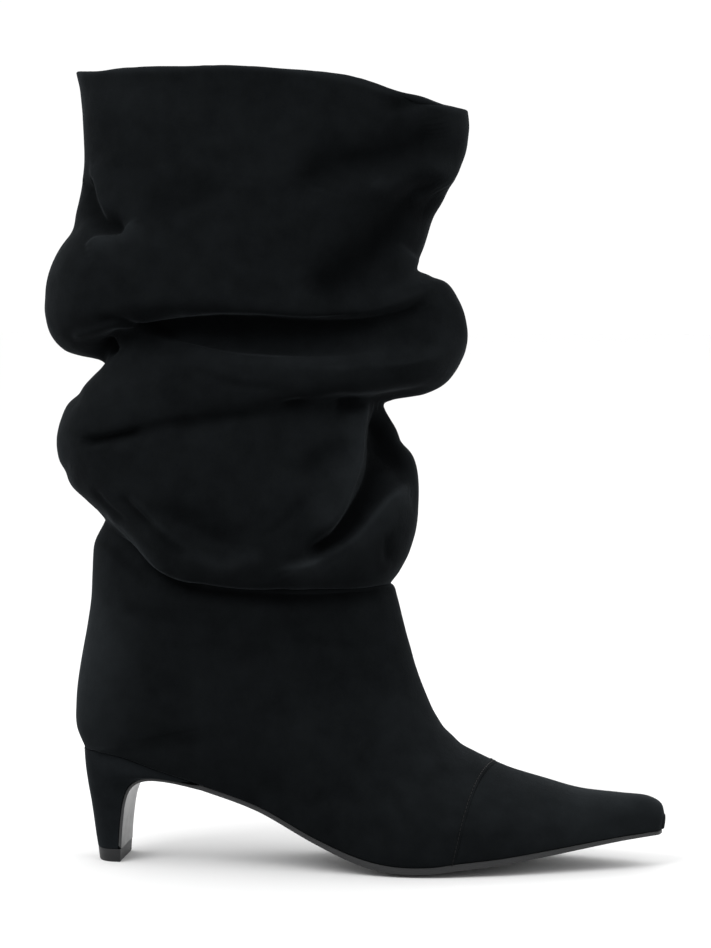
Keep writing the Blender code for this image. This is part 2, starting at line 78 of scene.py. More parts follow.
FOOT_COLUMNS = ("sole_x", "sole_z", "edge_out", "edge_in", "dish", "top_x", "top_z", "ridge",
                "wide_out", "wide_in", "wide_at", "swell", "crown")
FOOT = (
    (0.9965, 0.330, 0.005, 0.110, 0.2, 1.0015, 0.255, 0.058, 0.000, 0.115, 0.50, 2.0, 2.4),
    (0.9930, 0.326, -0.030, 0.145, 0.3, 0.9965, 0.305, 0.058, -0.038, 0.153, 0.45, 2.0, 2.4),
    (0.9750, 0.318, -0.062, 0.182, 0.5, 0.9760, 0.340, 0.062, -0.076, 0.195, 0.42, 2.0, 2.5),
    (0.9300, 0.297, -0.135, 0.243, 0.8, 0.9250, 0.354, 0.068, -0.152, 0.258, 0.40, 2.0, 2.4),
    (0.8700, 0.255, -0.222, 0.315, 1.1, 0.8600, 0.371, 0.075, -0.240, 0.330, 0.38, 2.0, 2.2),
    (0.8050, 0.207, -0.317, 0.390, 1.4, 0.7950, 0.421, 0.080, -0.337, 0.400, 0.35, 2.0, 2.0),
    (0.7350, 0.160, -0.410, 0.455, 1.7, 0.7350, 0.474, 0.080, -0.430, 0.462, 0.32, 2.0, 1.8),
    (0.6600, 0.123, -0.478, 0.492, 1.9, 0.6800, 0.547, 0.075, -0.495, 0.497, 0.30, 2.0, 1.75),
    (0.6180, 0.096, -0.500, 0.482, 1.9, 0.6560, 0.585, 0.070, -0.518, 0.490, 0.30, 2.0, 1.75),
    (0.5580, 0.096, -0.497, 0.450, 1.9, 0.6400, 0.630, 0.064, -0.515, 0.466, 0.31, 2.0, 1.8),
    (0.5000, 0.150, -0.465, 0.398, 1.8, 0.6280, 0.665, 0.056, -0.488, 0.432, 0.33, 2.0, 1.85),
    (0.4200, 0.310, -0.410, 0.340, 1.2, 0.6175, 0.712, 0.046, -0.455, 0.408, 0.37, 2.0, 1.9),
    (0.3250, 0.560, -0.365, 0.305, 0.6, 0.6090, 0.757, 0.036, -0.436, 0.402, 0.41, 2.0, 1.95),
    (0.2250, 0.735, -0.347, 0.312, 0.2, 0.6020, 0.805, 0.026, -0.432, 0.408, 0.44, 2.0, 2.0),
    (0.1500, 0.855, -0.342, 0.324, 0.0, 0.5955, 0.853, 0.018, -0.434, 0.415, 0.45, 2.0, 2.0),
    (0.0880, 0.958, -0.318, 0.300, 0.0, 0.5890, 0.902, 0.012, -0.436, 0.420, 0.46, 1.8, 2.0),
    (0.0440, 0.994, -0.255, 0.241, 0.0, 0.5835, 0.948, 0.006, -0.438, 0.424, 0.46, 2.0, 2.05),
    (0.0150, 1.002, 0.000, 0.000, 0.0, 0.5780, 1.000, 0.000, -0.441, 0.428, 0.46, 2.8, 2.05),
)

SHAFT_COLUMNS = ("back_x", "back_z", "front_x", "front_z", "out_y", "out_z", "in_y", "in_z",
                 "round")
SHAFT = (
    (0.3, 62.0, 155.6, 99.5, -34.6, 79.5, 33.6, 79.5, 2.7),  # heel seat
    (0.0, 73.0, 153.7, 106.0, -34.9, 88.5, 33.9, 88.5, 2.6),
    (0.9, 84.0, 152.0, 112.5, -35.2, 96.5, 34.2, 96.5, 2.5),
    (2.8, 96.0, 150.8, 117.5, -35.5, 104.0, 34.4, 104.5, 2.4),
    (5.0, 108.0, 149.8, 121.5, -35.8, 110.5, 34.6, 112.0, 2.3),  # ankle
    (6.9, 121.0, 148.9, 124.8, -36.1, 117.0, 34.8, 119.5, 2.2),
    (7.5, 135.0, 148.2, 127.3, -36.3, 123.0, 35.0, 127.0, 2.15),
    (8.6, 147.5, 147.5, 128.4, -36.4, 128.5, 35.1, 133.5, 2.1),
    (12.4, 155.0, 146.3, 129.2, -33.4, 138.5, 32.6, 143.5, 2.1),  # tucked up behind the lower roll
    (13.8, 157.9, 146.6, 129.9, -38.0, 130.6, 36.8, 135.5, 2.1),  # hem of the lower roll
    (10.2, 162.6, 150.0, 134.5, -42.2, 131.8, 40.6, 137.5, 2.0),
    (3.4, 168.6, 154.5, 143.0, -45.2, 138.0, 43.3, 144.0, 2.0),
    (-2.4, 174.4, 158.2, 156.0, -46.5, 149.0, 44.6, 156.0, 2.0),
    (-6.3, 182.0, 159.3, 172.0, -46.0, 165.0, 44.0, 171.0, 2.05),  # belly of the lower roll
    (-8.2, 189.0, 157.3, 186.0, -44.5, 181.0, 42.6, 186.0, 2.1),
    (-8.6, 193.5, 151.2, 197.0, -43.6, 194.0, 41.4, 197.5, 2.1),
    (-8.5, 198.0, 143.0, 211.7, -41.6, 204.8, 39.2, 206.0, 2.1),  # crease across the side
    (-7.4, 203.0, 146.5, 213.9, -43.4, 209.6, 41.2, 211.0, 2.1),
    (-4.2, 210.6, 161.5, 216.6, -44.6, 216.6, 43.0, 218.5, 2.1),
    (1.8, 218.6, 171.9, 222.4, -44.6, 225.0, 43.6, 227.0, 2.1),  # middle roll, deepest in front
    (9.8, 226.0, 178.5, 232.0, -42.6, 231.5, 42.0, 234.0, 2.1),
    (14.0, 229.3, 181.2, 241.5, -39.3, 235.0, 39.0, 239.0, 2.1),  # upper edge of the middle roll
    (12.0, 231.6, 180.7, 250.0, -34.3, 238.8, 36.0, 245.0, 2.1),  # floor of the deep fold
    (3.4, 233.8, 177.7, 259.2, -33.3, 246.0, 35.4, 252.0, 2.1),
    (-5.5, 237.0, 172.0, 267.6, -36.3, 251.0, 37.4, 257.0, 2.1),
    (-11.3, 243.2, 163.2, 270.6, -41.5, 252.6, 40.6, 260.0, 2.1),  # edge over the deep fold
    (-13.8, 251.0, 158.1, 273.2, -45.0, 257.5, 43.5, 265.0, 2.1),
    (-14.0, 259.0, 158.9, 278.0, -46.0, 266.0, 44.5, 272.0, 2.1),  # belly of the upper roll
    (-12.7, 269.0, 161.4, 284.5, -45.3, 277.0, 44.0, 281.0, 2.1),
    (-8.7, 280.0, 165.7, 295.0, -43.8, 290.0, 42.5, 293.0, 2.1),
    (-2.1, 292.3, 170.6, 305.8, -42.5, 305.0, 41.0, 306.0, 2.1),
    (2.2, 306.0, 176.5, 317.0, -42.0, 320.0, 40.5, 320.0, 2.1),
    (4.9, 322.0, 180.7, 327.0, -41.5, 336.0, 40.0, 335.0, 2.1),
    (4.2, 340.0, 182.3, 336.5, -41.0, 348.5, 39.5, 348.5, 2.1),
    (2.8, 355.0, 182.1, 341.8, -41.0, 358.5, 39.5, 357.5, 2.1),
    (1.3, 363.4, 181.5, 345.3, -41.3, 364.8, 39.8, 363.5, 2.1),  # collar
)


def named(rows, columns):
    """A table's rows as dictionaries."""
    return [dict(zip(columns, row)) for row in rows]


def quarter(angle, exponent):
    """Cosine and sine of a superellipse's quarter."""
    cos = np.clip(np.cos(angle), 0, 1) ** (2 / exponent)
    sin = np.clip(np.sin(angle), 0, 1) ** (2 / exponent)
    return cos, sin


def side_of_section(start, top, side_y, side_z, edge_y, wide_at, low_round, high_round,
                    low_steps, over_steps):
    """One side of a section: it leaves start at edge_y, swells to side_y and closes over the top."""
    start, top = np.array(start, float), np.array(top, float)
    lift = 0.0 if side_z is None else side_z - (start[2] + (top[2] - start[2]) * wide_at)
    low = np.arange(low_steps + 1) / low_steps * math.pi / 2
    over = np.arange(over_steps)[::-1] / over_steps * math.pi / 2
    low_cos, low_sin = quarter(low, low_round)
    over_cos, over_sin = quarter(over, high_round)
    share = np.concatenate((wide_at * (1 - low_cos), wide_at + (1 - wide_at) * over_cos))
    points = start + (top - start) * share[:, None]
    points[:, 1] = np.concatenate((edge_y + (side_y - edge_y) * low_sin,
                                   top[1] + (side_y - top[1]) * over_sin))
    points[:, 2] += lift * np.concatenate((np.sin(low) ** FOLD_TURN, np.sin(over) ** 2))
    return points


def rows_between(rows, counts):
    """The rows with counts[i] - 1 more between row i and the next, on a smooth curve down each column."""
    held = np.concatenate((2 * rows[:1] - rows[1:2], rows, 2 * rows[-1:] - rows[-2:-1]))
    knots = np.sqrt(np.linalg.norm(np.diff(held, axis=0), axis=2))[..., None] + 1e-3
    made = []
    for i, count in enumerate(counts):
        a, b, c, d = held[i:i + 4]
        ab, bc, cd = knots[i:i + 3]
        leave = bc * ((b - a) / ab - (c - a) / (ab + bc) + (c - b) / bc)
        arrive = bc * ((c - b) / bc - (d - b) / (bc + cd) + (d - c) / cd)
        for u in np.arange(count) / count:
            made.append(b * (1 + 2 * u) * (1 - u) ** 2 + leave * u * (1 - u) ** 2
                        + c * u * u * (3 - 2 * u) - arrive * u * u * (1 - u))
    made.append(rows[-1])
    return np.array(made)


def counts_for(rows, widest):
    """How many steps to put between each two rows, so that none is wider than widest."""
    apart = np.linalg.norm(np.diff(rows, axis=0), axis=2).max(axis=1)
    return [max(1, math.ceil(gap / widest)) for gap in apart]


sections = named(FOOT, FOOT_COLUMNS)
for section in sections:
    for key in ("sole_x", "top_x"):
        section[key] *= LENGTH
    for key in ("edge_out", "edge_in", "ridge", "wide_out", "wide_in"):
        section[key] *= BALL_WIDTH
    section["sole_z"] *= SEAT_HEIGHT
    section["top_z"] *= INSTEP


def section_row(section, low, over):
    """A section of the foot as a row from the outer edge of the sole, over the top, to the inner edge."""
    start = (section["sole_x"], 0.0, section["sole_z"])
    top = (section["top_x"], section["ridge"], section["top_z"])
    outer, inner = (
        side_of_section(start, top, section["wide_" + side], None, section["edge_" + side],
                        section["wide_at"], section["swell"], section["crown"], low, over)
        for side in ("out", "in")
    )
    return np.concatenate((outer, inner[-2::-1]))


def shaft_ring(ring, low, over):
    """A ring of the shaft, which starts and ends at the back."""
    back = (ring["back_x"], 0.0, ring["back_z"])
    front = (ring["front_x"], 0.0, ring["front_z"])
    outer, inner = (
        side_of_section(back, front, ring[side + "_y"], ring[side + "_z"], 0.0,
                        SHAFT_WIDE_AT, ring["round"], SHAFT_ROUND, low, over)
        for side in ("out", "in")
    )
    return np.concatenate((outer, inner[-2::-1]))


def foot_surface(low, over, seat, widest):
    """The foot and lower leg: rows from the toe tip to the heel seat, then rings up to the tuck."""
    rows = np.array([section_row(section, low, over) for section in sections[:-1]])
    closing = section_row(sections[-1], low + seat, over)
    closing[:seat + 1, 2] = closing[-seat - 1:, 2] = sections[-1]["sole_z"]
    rings = np.array([closing] + [shaft_ring(ring, low + seat, over)
                                  for ring in named(SHAFT, SHAFT_COLUMNS)[:TUCK + 1]])
    from_sole = np.concatenate((rows, rings[:, seat:-seat]))
    row_counts = counts_for(from_sole[:len(rows) + 1], widest)
    ring_counts = counts_for(rings, widest)
    from_sole = rows_between(from_sole, row_counts + ring_counts)
    rings = np.concatenate((rows_between(rings[:, :seat], ring_counts),
                            from_sole[sum(row_counts):],
                            rows_between(rings[:, -seat:], ring_counts)), axis=1)
    rows = from_sole[:sum(row_counts)]
    middle = (rows[0][0] + rows[0][-1]) / 2     # the snipped tip shrinks towards the sole as it closes
    tip = [middle + (rows[0] - middle) * math.cos(turn) + (TOE_BULGE * math.sin(turn), 0, 0)
           for turn in np.radians(TIP_TURNS)]
    return np.concatenate((tip, rows)), rings


def shaft_surface(low, over, widest):
    """The slack shaft: rings from the tuck up to the collar."""
    rings = np.array([shaft_ring(ring, low, over) for ring in named(SHAFT, SHAFT_COLUMNS)[TUCK - 1:]])
    return rows_between(rings, counts_for(rings, widest))


# Where the slack leather hangs lower, higher or fuller than its even fall, on one face of the boot.
#   face   "out" or "in", the outer and inner sides, seen as x and z
#   move_x, move_z, swell   how far the leather shifts, and stands out, at the middle of the place
PUSH_COLUMNS = ("face", "x", "z", "reach_x", "reach_z", "move_x", "move_z", "swell")
PUSHES = (
    # the collar's edge
    ("out", 58, 364, 22, 16, 0, -2.0, 0),
    ("out", 130, 358, 24, 18, 0, 1.4, 0),
    ("out", 160, 350, 16, 14, 0, -2.2, 0),
    ("out", 18, 364, 12, 10, 0, -0.4, 0),
    ("out", 92, 362, 24, 16, 0, -1.0, 0),
    # the edge that hangs over the deep fold
    ("out", 45, 250, 24, 8, 0, 3.0, 0),
    ("out", 112, 261, 26, 9, 0, -7.5, 0),
    ("out", 147, 264, 18, 9, 0, -7.0, 0),
    # the floor of the deep fold
    ("out", 62, 246, 30, 7, 0, 0, -3.5),
    ("out", 118, 245, 38, 8, 0, 0, -4.0),
    # the upper edge of the middle roll
    ("out", 27, 235, 12, 8, 0, 12.0, 2.0),
    ("out", 50, 236, 16, 7, 0, 5.0, 1.5),
    ("out", 123, 238, 26, 7, 0, -5.0, 0),
    ("out", 158, 242, 16, 8, 0, -5.5, 0),
    # the crease across the side
    ("out", 22, 204, 20, 10, 0, -6.0, 0),
    ("out", 135, 212, 24, 8, 0, 3.0, 0),
    # the front of the lower roll lies behind the fold that runs down beside it
    ("out", 158, 196, 14, 26, 0, 0, -5.0),
    # the hem of the lower roll
    ("out", 44, 146, 12, 10, 0, -5.5, 0),
    ("out", 56, 139, 10, 8, 0, -3.5, 0),
    ("out", 110, 127, 26, 9, 0, 4.0, 0),
)

# Creases in the slack leather, each along a line drawn on one face.
#   face    "out" or "in" as x and z; "back" or "front" as y and z
#   depth   mm, below zero for a trough
#   tone    painted highlight along the crease, or painted shade in it below zero
#   left, right   how far it fades out to either side, seen going along its line
#   fade    length over which it dies away at both ends
CREASE_COLUMNS = ("face", "depth", "tone", "left", "right", "fade", "line")
CREASES = (
    # the upper panel's edge, and the trough and painted shade under it
    ("out", 1.6, 0.0, 9, 1.6, 14,
     ((24, 248), (41, 252), (64, 255.4), (91, 256), (123, 254.4), (141, 256), (155, 260), (168, 266))),
    ("out", -3.0, -0.45, 1.6, 5, 10,
     ((28, 247), (40, 248), (64, 251), (91, 251.5), (123, 250), (141, 251.5), (155, 255), (166, 261))),
    ("out", 0.0, -0.3, 7, 8, 12,
     ((32, 246.5), (45, 247), (64, 246), (91, 243.5), (123, 243), (150, 246), (165, 252), (172, 256))),
    # the middle roll's thin upper edge
    ("out", 1.4, 0.12, 1.5, 3, 6,
     ((1, 243.0), (12, 246), (24, 249.0), (32, 247.5), (40, 244), (58, 239), (79, 234.8), (104, 233.2),
      (123, 233.4), (150, 236.1))),
    ("out", -1.0, -0.45, 1.8, 1.6, 6, ((16, 250.3), (25, 251.6), (33, 250), (42, 246.5), (54, 242.5))),
    ("out", -3.2, -0.9, 2.6, 3.2, 5, ((15.5, 242), (20, 239.5), (25, 236))),
    # the soft crease under the middle roll, deepest at its ends
    ("out", -0.9, -0.25, 4, 3, 12,
     ((8, 195), (28, 199.2), (46, 202.4), (64, 205.3), (82, 208.1), (106, 213.5), (128, 216.4), (138, 217))),
    ("out", -2.4, -0.6, 2.4, 1.8, 9, ((5, 194), (13, 195.6), (21, 196.9), (29, 198.6), (40, 201.4))),
    ("out", -1.6, -0.5, 2.5, 2.5, 6, ((98, 211.8), (106, 213), (114, 214))),
    ("out", -2.4, -0.6, 2.5, 4, 5, ((122, 213.5), (129, 213), (135, 215.5))),
    # the crisp fold that runs down from it, and the pocket in front
    ("out", 2.8, 0.3, 1.7, 9, 9,
     ((136.5, 216.4), (135.2, 201.6), (134.6, 188.2), (131.2, 176.1), (127, 163.5), (120, 152.2))),
    ("out", 1.0, 0.2, 1.3, 1.8, 9,
     ((135.8, 214), (135.0, 201.6), (134.4, 188.2), (131, 176.1), (126.8, 163.5), (120, 152.2))),
    ("out", -6.4, -1.0, 8, 3.2, 9,
     ((143.5, 214), (142, 200), (141.5, 188), (139, 177), (133.5, 166), (126.5, 157), (119, 150),
      (111, 145.5))),
    ("out", -2.0, -0.9, 9, 8, 10, ((150, 214), (151, 204), (152.5, 194), (151, 185), (147, 178))),
    # the lip that closes the pocket
    ("out", 4.0, 0.5, 1.6, 8, 11,
     ((98, 139), (106, 140.4), (116, 143.6), (126, 149), (134, 155), (141, 163.5), (147, 171),
      (152.5, 174.8), (158.5, 176.2))),
    ("out", 1.0, 0.25, 1.2, 2.0, 8,
     ((108, 140.6), (116, 143.4), (126, 148.8), (134, 154.8), (141, 163.2), (147, 170.7), (155, 175))),
    ("out", -1.5, -0.5, 2.6, 2.2, 5, ((147.5, 156), (147, 148), (148, 138))),
    # soft dents and swellings of the lower roll
    ("out", -2.2, -0.35, 6, 6, 12, ((104, 177), (117.8, 188.1), (125.4, 193.9), (133, 199))),
    ("out", 2.0, 0.15, 6, 6, 10, ((129, 190), (126, 182), (120, 173), (117.5, 160), (114, 150))),
    ("out", -2.4, -0.35, 8, 3.5, 14, ((38, 168), (59.7, 159.7), (71.1, 154), (86, 148))),
    ("out", 2.2, 0.15, 4, 5, 10, ((38, 161), (52.9, 149.3), (66.5, 142.7), (80.2, 140.6), (96, 148))),
    ("out", -1.7, -0.35, 2.2, 2.2, 7, ((26, 173), (39.2, 160.5), (50, 151), (60, 145))),
    ("out", 0.9, 0.2, 1.6, 2.2, 6, ((31, 172), (42, 162.5), (52, 154))),
    ("out", 1.0, 0.3, 3, 1.2, 6, ((18, 163), (27.7, 154.2), (36.9, 146.6), (45.1, 139.6), (51, 137))),
    ("out", -0.9, -0.25, 1.8, 1.8, 6, ((12, 175), (20, 167), (31, 159))),
    ("out", -0.8, -0.2, 2.2, 2.2, 10, ((88, 152), (99, 158), (108, 167), (113, 177))),
    ("out", -0.7, -0.2, 2.2, 2.2, 10, ((58, 232), (70, 226), (84, 222), (99, 221))),
    # slight folds of the leg below the hem
    ("out", -0.8, -0.3, 2.4, 2.0, 8, ((10, 150), (18, 146.5), (28, 140), (38, 133))),
    ("out", -0.5, -0.15, 3, 3, 12, ((22, 122), (40, 116), (62, 113))),
    ("out", -0.5, -0.15, 3, 3, 12, ((104, 108), (122, 103), (140, 101))),
    # the collar's rim, with a painted highlight along the turned edge
    ("out", 0.0, 0.5, 1.6, 1.6, 4,
     ((2, 363.4), (40, 363.6), (90, 363.8), (130, 358.8), (160, 349.5), (181, 345.5))),
    # the trough and painted shade under the hem of the lower roll
    ("out", -2.0, -0.7, 1.2, 5, 14,
     ((46, 134.5), (59.1, 131), (81.9, 128.5), (109.1, 126.5), (140, 128), (152, 130))),
    # the pinch at the back of the upper panel
    ("out", 1.6, 0.2, 9, 1.5, 9, ((10.5, 326), (11.8, 318), (14.9, 309), (17.7, 301), (20.5, 294.5))),
    ("out", -4.5, -0.7, 4, 4.5, 6, ((7, 316), (11, 304), (18, 295), (27, 293), (31, 294.5))),
    ("out", 2.4, 0.4, 1.5, 7, 6,
     ((9, 283), (11.7, 284.1), (16.3, 287.3), (22.3, 288.1), (27.7, 289.2), (31.4, 292.2), (36, 297))),
    # drape of the upper panel, towards the front
    ("out", -3.6, -0.6, 8, 7, 14,
     ((176, 338), (166, 334), (152, 326), (132, 321.5), (120, 318), (112, 311), (114, 303))),
    ("out", 2.4, 0.3, 6, 6, 14, ((184, 321), (166.4, 316), (152.3, 312), (132.4, 310.7))),
    ("out", 1.2, 0.5, 2, 3, 6, ((158, 302.5), (166, 307.5), (176, 316))),
    ("out", -4.4, -0.85, 9, 10, 13,
     ((172, 318), (160, 304), (150, 293), (141, 282), (131, 272.5), (120, 266.5), (108, 265))),
    ("out", 2.2, 0.4, 1.4, 9, 6, ((151, 286), (153.4, 283.2), (157.4, 278.7), (161.4, 274.2), (166.5, 266))),
    ("out", -1.8, -0.45, 3, 5, 8, ((178, 351), (172.7, 351.5), (159.2, 348.5), (143.5, 343.5))),
    ("out", -1.0, -0.25, 6, 6, 14, ((32, 304.8), (46, 303.4), (64, 306.6), (85, 308.3))),
    # the inner side, where the slack hangs more evenly
    ("in", -2.6, -0.4, 3, 5, 16, ((18, 245), (60, 251), (110, 254), (160, 263))),
    ("in", -1.3, -0.25, 4, 4, 16, ((18, 201), (60, 208), (100, 213), (138, 217))),
    ("in", -1.9, -0.25, 7, 6, 14, ((44, 184), (66, 166), (98, 152), (118, 148))),
    ("in", 1.7, 0.15, 7, 7, 14, ((70, 184), (92, 172), (122, 166))),
    ("in", -2.8, -0.35, 10, 9, 18, ((172, 326), (150, 318), (132, 304), (124, 288))),
    ("in", 1.6, 0.15, 8, 8, 16, ((176, 304), (150, 294), (134, 276))),
    ("in", -1.8, -0.25, 8, 8, 18, ((14, 312), (40, 301), (78, 303), (96, 312))),
    ("in", -1.2, -0.2, 5, 5, 14, ((48, 342), (84, 337), (120, 342))),
    # the back and the front
    ("back", -1.5, -0.3, 4, 4, 10, ((-24, 211), (0, 217), (24, 210))),
    ("back", -1.4, -0.25, 6, 6, 12, ((-26, 298), (0, 292), (26, 300))),
    ("back", -1.0, -0.2, 4, 4, 10, ((-26, 184), (0, 180), (24, 187))),
    ("front", -1.4, -0.3, 4, 4, 10, ((-22, 190), (0, 196), (22, 188))),
    ("front", -1.6, -0.25, 6, 6, 12, ((-20, 302), (0, 296), (22, 305))),
)

# Where the suede is painted lighter as a painted highlight, or darker below zero as painted shade, all round
# the boot.
PAINTED_LIGHT_COLUMNS = ("x", "z", "reach_x", "reach_z", "tone")
PAINTED_LIGHT = (
    (6, 98, 20, 44, 0.75),      # the back of the leg
    (252, 22, 46, 34, 0.42),    # the toe
    (172, 60, 26, 30, 0.12),    # the instep
    (-12, 262, 16, 26, 0.15),   # the back of the upper roll
    (-4, 186, 14, 24, 0.2),     # the back of the lower roll
    (176, 232, 12, 16, 0.35),   # the front of the middle roll
    (98, 112, 44, 18, -0.15),   # below the hem
    (30, 352, 40, 14, 0.15),    # the back of the collar
)
PUSH_FROM = 2.0         # mm from the middle, where a push on one side begins
PUSH_GROWS = 14.0       # and over which it grows whole
RIPPLES = ((19, 1.0), (7, 0.3))     # size in mm and share of the leather's slow unevenness
RIPPLE_TIGHT = 0.12     # mm, how deep it is where the leather is lasted tight
RIPPLE_SLACK = 0.55     # and where it is slack
RIPPLE_CHANGES = (125, 150)     # heights between which it goes from tight to slack
SHAFT_MIDDLE = (88.0, 0.0)
FACING_ABOVE = 318.0


def along_spline(line, step):
    """Points at even steps along a smooth curve through a line's points."""
    line = np.array(line, float)[:, None, :]
    gaps = np.linalg.norm(np.diff(line[:, 0], axis=0), axis=1)
    return rows_between(line, [max(2, math.ceil(gap / step)) for gap in gaps])[:, 0]


def facing(face, normals):
    """How squarely leather with these normals faces that side of the boot, from 0 to 1."""
    axis, sign = {"out": (1, -1), "in": (1, 1), "back": (0, -1), "front": (0, 1)}[face]
    return np.clip((normals[:, axis] * sign + 0.05) / 0.4, 0, 1)


def slackened(points, normals):
    """The leather's points after its pushes and creases, and the painted shade and painted highlights that
    they give the suede.
    """
    moved = points.copy()
    turned_in = ((points[:, :2] - SHAFT_MIDDLE) * normals[:, :2]).sum(axis=1) < 0
    turned_in &= points[:, 2] > FACING_ABOVE
    normals = np.where(turned_in[:, None], -normals, normals)   # a facing moves with the suede outside it
    for push in named(PUSHES, PUSH_COLUMNS):
        side = -1 if push["face"] == "out" else 1
        share = np.clip((side * points[:, 1] - PUSH_FROM) / PUSH_GROWS, 0, 1)
        share = share * share * (3 - 2 * share)
        share = share * np.exp(-((points[:, 0] - push["x"]) / push["reach_x"]) ** 2
                               - ((points[:, 2] - push["z"]) / push["reach_z"]) ** 2)
        moved[:, 0] += share * push["move_x"]
        moved[:, 2] += share * push["move_z"]
        moved += normals * (share * push["swell"])[:, None]
    pressed, tone = np.zeros(len(points)), np.zeros(len(points))
    for crease in named(CREASES, CREASE_COLUMNS):
        flat = moved[:, (0, 2)] if crease["face"] in ("out", "in") else moved[:, 1:]
        line = along_spline(crease["line"], 1.0)
        reach = 3 * max(crease["left"], crease["right"])
        square = facing(crease["face"], normals)
        near = np.all((flat > line.min(axis=0) - reach) & (flat < line.max(axis=0) + reach), axis=1)
        near = np.nonzero(near & (square > 0))[0]
        gaps = flat[near][:, None] - line[None]
        nearest = np.argmin((gaps ** 2).sum(axis=2), axis=1)
        gap = gaps[np.arange(len(near)), nearest]
        heading = np.gradient(line, axis=0)
        heading /= np.linalg.norm(heading, axis=1)[:, None]
        sideways = heading[nearest, 0] * gap[:, 1] - heading[nearest, 1] * gap[:, 0]
        width = np.where(sideways > 0, crease["left"], crease["right"])
        run = np.concatenate(([0], np.cumsum(np.linalg.norm(np.diff(line, axis=0), axis=1))))
        to_end = np.minimum(run[nearest], run[-1] - run[nearest]) / crease["fade"]
        to_end = np.clip(to_end, 0, 1)
        share = np.exp(-(gap ** 2).sum(axis=1) / width ** 2) * to_end * to_end * (3 - 2 * to_end)
        share = share * square[near]
        pressed[near] += crease["depth"] * share
        tone[near] += crease["tone"] * share
    # painted highlights and painted shade of the listed places, added to the creases' painted shading
    for place in named(PAINTED_LIGHT, PAINTED_LIGHT_COLUMNS):
        tone += place["tone"] * np.exp(-((points[:, 0] - place["x"]) / place["reach_x"]) ** 2
                                       - ((points[:, 2] - place["z"]) / place["reach_z"]) ** 2)
    uneven = np.array([sum(share * noise.noise(Vector(point) / size) for size, share in RIPPLES)
                       for point in points])
    pressed += uneven * np.interp(points[:, 2], RIPPLE_CHANGES, (RIPPLE_TIGHT, RIPPLE_SLACK))
    return moved + normals * pressed[:, None], np.clip(tone, -1, 1)


def numbers_of(points, first=0):
    """The numbers of the points of a grid, in its own rows and columns."""
    return first + np.arange(points[..., 0].size).reshape(points.shape[:2])


def grid_faces(ids):
    """Faces between rows of point numbers."""
    low, up = ids[:-1], ids[1:]
    return np.stack((low[:, :-1], low[:, 1:], up[:, 1:], up[:, :-1]), axis=-1).reshape(-1, 4).tolist()


def placed(name, data):
    """A new object of the scene, at the origin."""
    made = bpy.data.objects.new(name, data)
    bpy.context.scene.collection.objects.link(made)
    return made


def piece_from(name, points, faces, finish, shape=None):
    """A smooth-shaded piece at the origin, from points as drawn. shape moves them along their normals."""
    mesh = bpy.data.meshes.new(name)
    mesh.from_pydata(points.tolist(), [], faces)
    shaping = bmesh.new()
    shaping.from_mesh(mesh)
    bmesh.ops.remove_doubles(shaping, verts=shaping.verts, dist=0.002)
    bmesh.ops.recalc_face_normals(shaping, faces=shaping.faces)
    shaping.to_mesh(mesh)
    shaping.free()
    count = len(mesh.vertices)
    points, normals = np.zeros(count * 3), np.zeros(count * 3)
    mesh.vertices.foreach_get("co", points)
    mesh.vertices.foreach_get("normal", normals)
    points, normals = points.reshape(-1, 3), normals.reshape(-1, 3)
    if shape:
        points, tone = shape(points, normals)
        # shape also gives each point's painted shade and painted highlight, kept as an attribute
        mesh.attributes.new("painted_shade_and_light", "FLOAT", "POINT").data.foreach_set("value", tone)
    points[:, :2] -= ORIGIN
    mesh.vertices.foreach_set("co", (points * 0.001).ravel())
    mesh.update()
    mesh.shade_smooth()
    mesh.materials.append(finish)
    return placed(name, mesh)


foot_rows, leg_rings = foot_surface(FOOT_STEPS, FOOT_STEPS, SEAT_STEPS, FOOT_WIDEST)
shaft_rings = shaft_surface(SHAFT_STEPS, SHAFT_STEPS, SHAFT_WIDEST)

# The feather line, where the suede turns under, and the edge of what is turned in.
feather_x = (foot_rows[:, 0, 0] + foot_rows[:, -1, 0]) / 2
feather_z = (foot_rows[:, 0, 2] + foot_rows[:, -1, 2]) / 2
feather_out = foot_rows[:, 0, 1]
feather_in = foot_rows[:, -1, 1]
drawn_x = [section["sole_x"] for section in sections]
dishes = np.interp(feather_x, drawn_x[::-1], [section["dish"] for section in sections][::-1])
margin = np.minimum(LASTING_MARGIN, MARGIN_SHARE * (feather_in - feather_out))
margin_x = np.clip(feather_x, drawn_x[-1] + LASTING_MARGIN, drawn_x[0] - LASTING_MARGIN)


def seat_height(x, y):
    """Height of the last's bottom at a place in plan: flat in the middle, turned up at the edges."""
    along = feather_x[::-1]
    out_y, in_y = np.interp(x, along, feather_out[::-1]), np.interp(x, along, feather_in[::-1])
    share = np.clip(np.abs(y - (out_y + in_y) / 2) / np.maximum((in_y - out_y) / 2, 0.1), 0, 1)
    past_flat = np.maximum(0, share - 0.5) / 0.5
    return (np.interp(x, along, feather_z[::-1])
            - np.interp(x, along, dishes[::-1]) * (1 - past_flat ** 2))


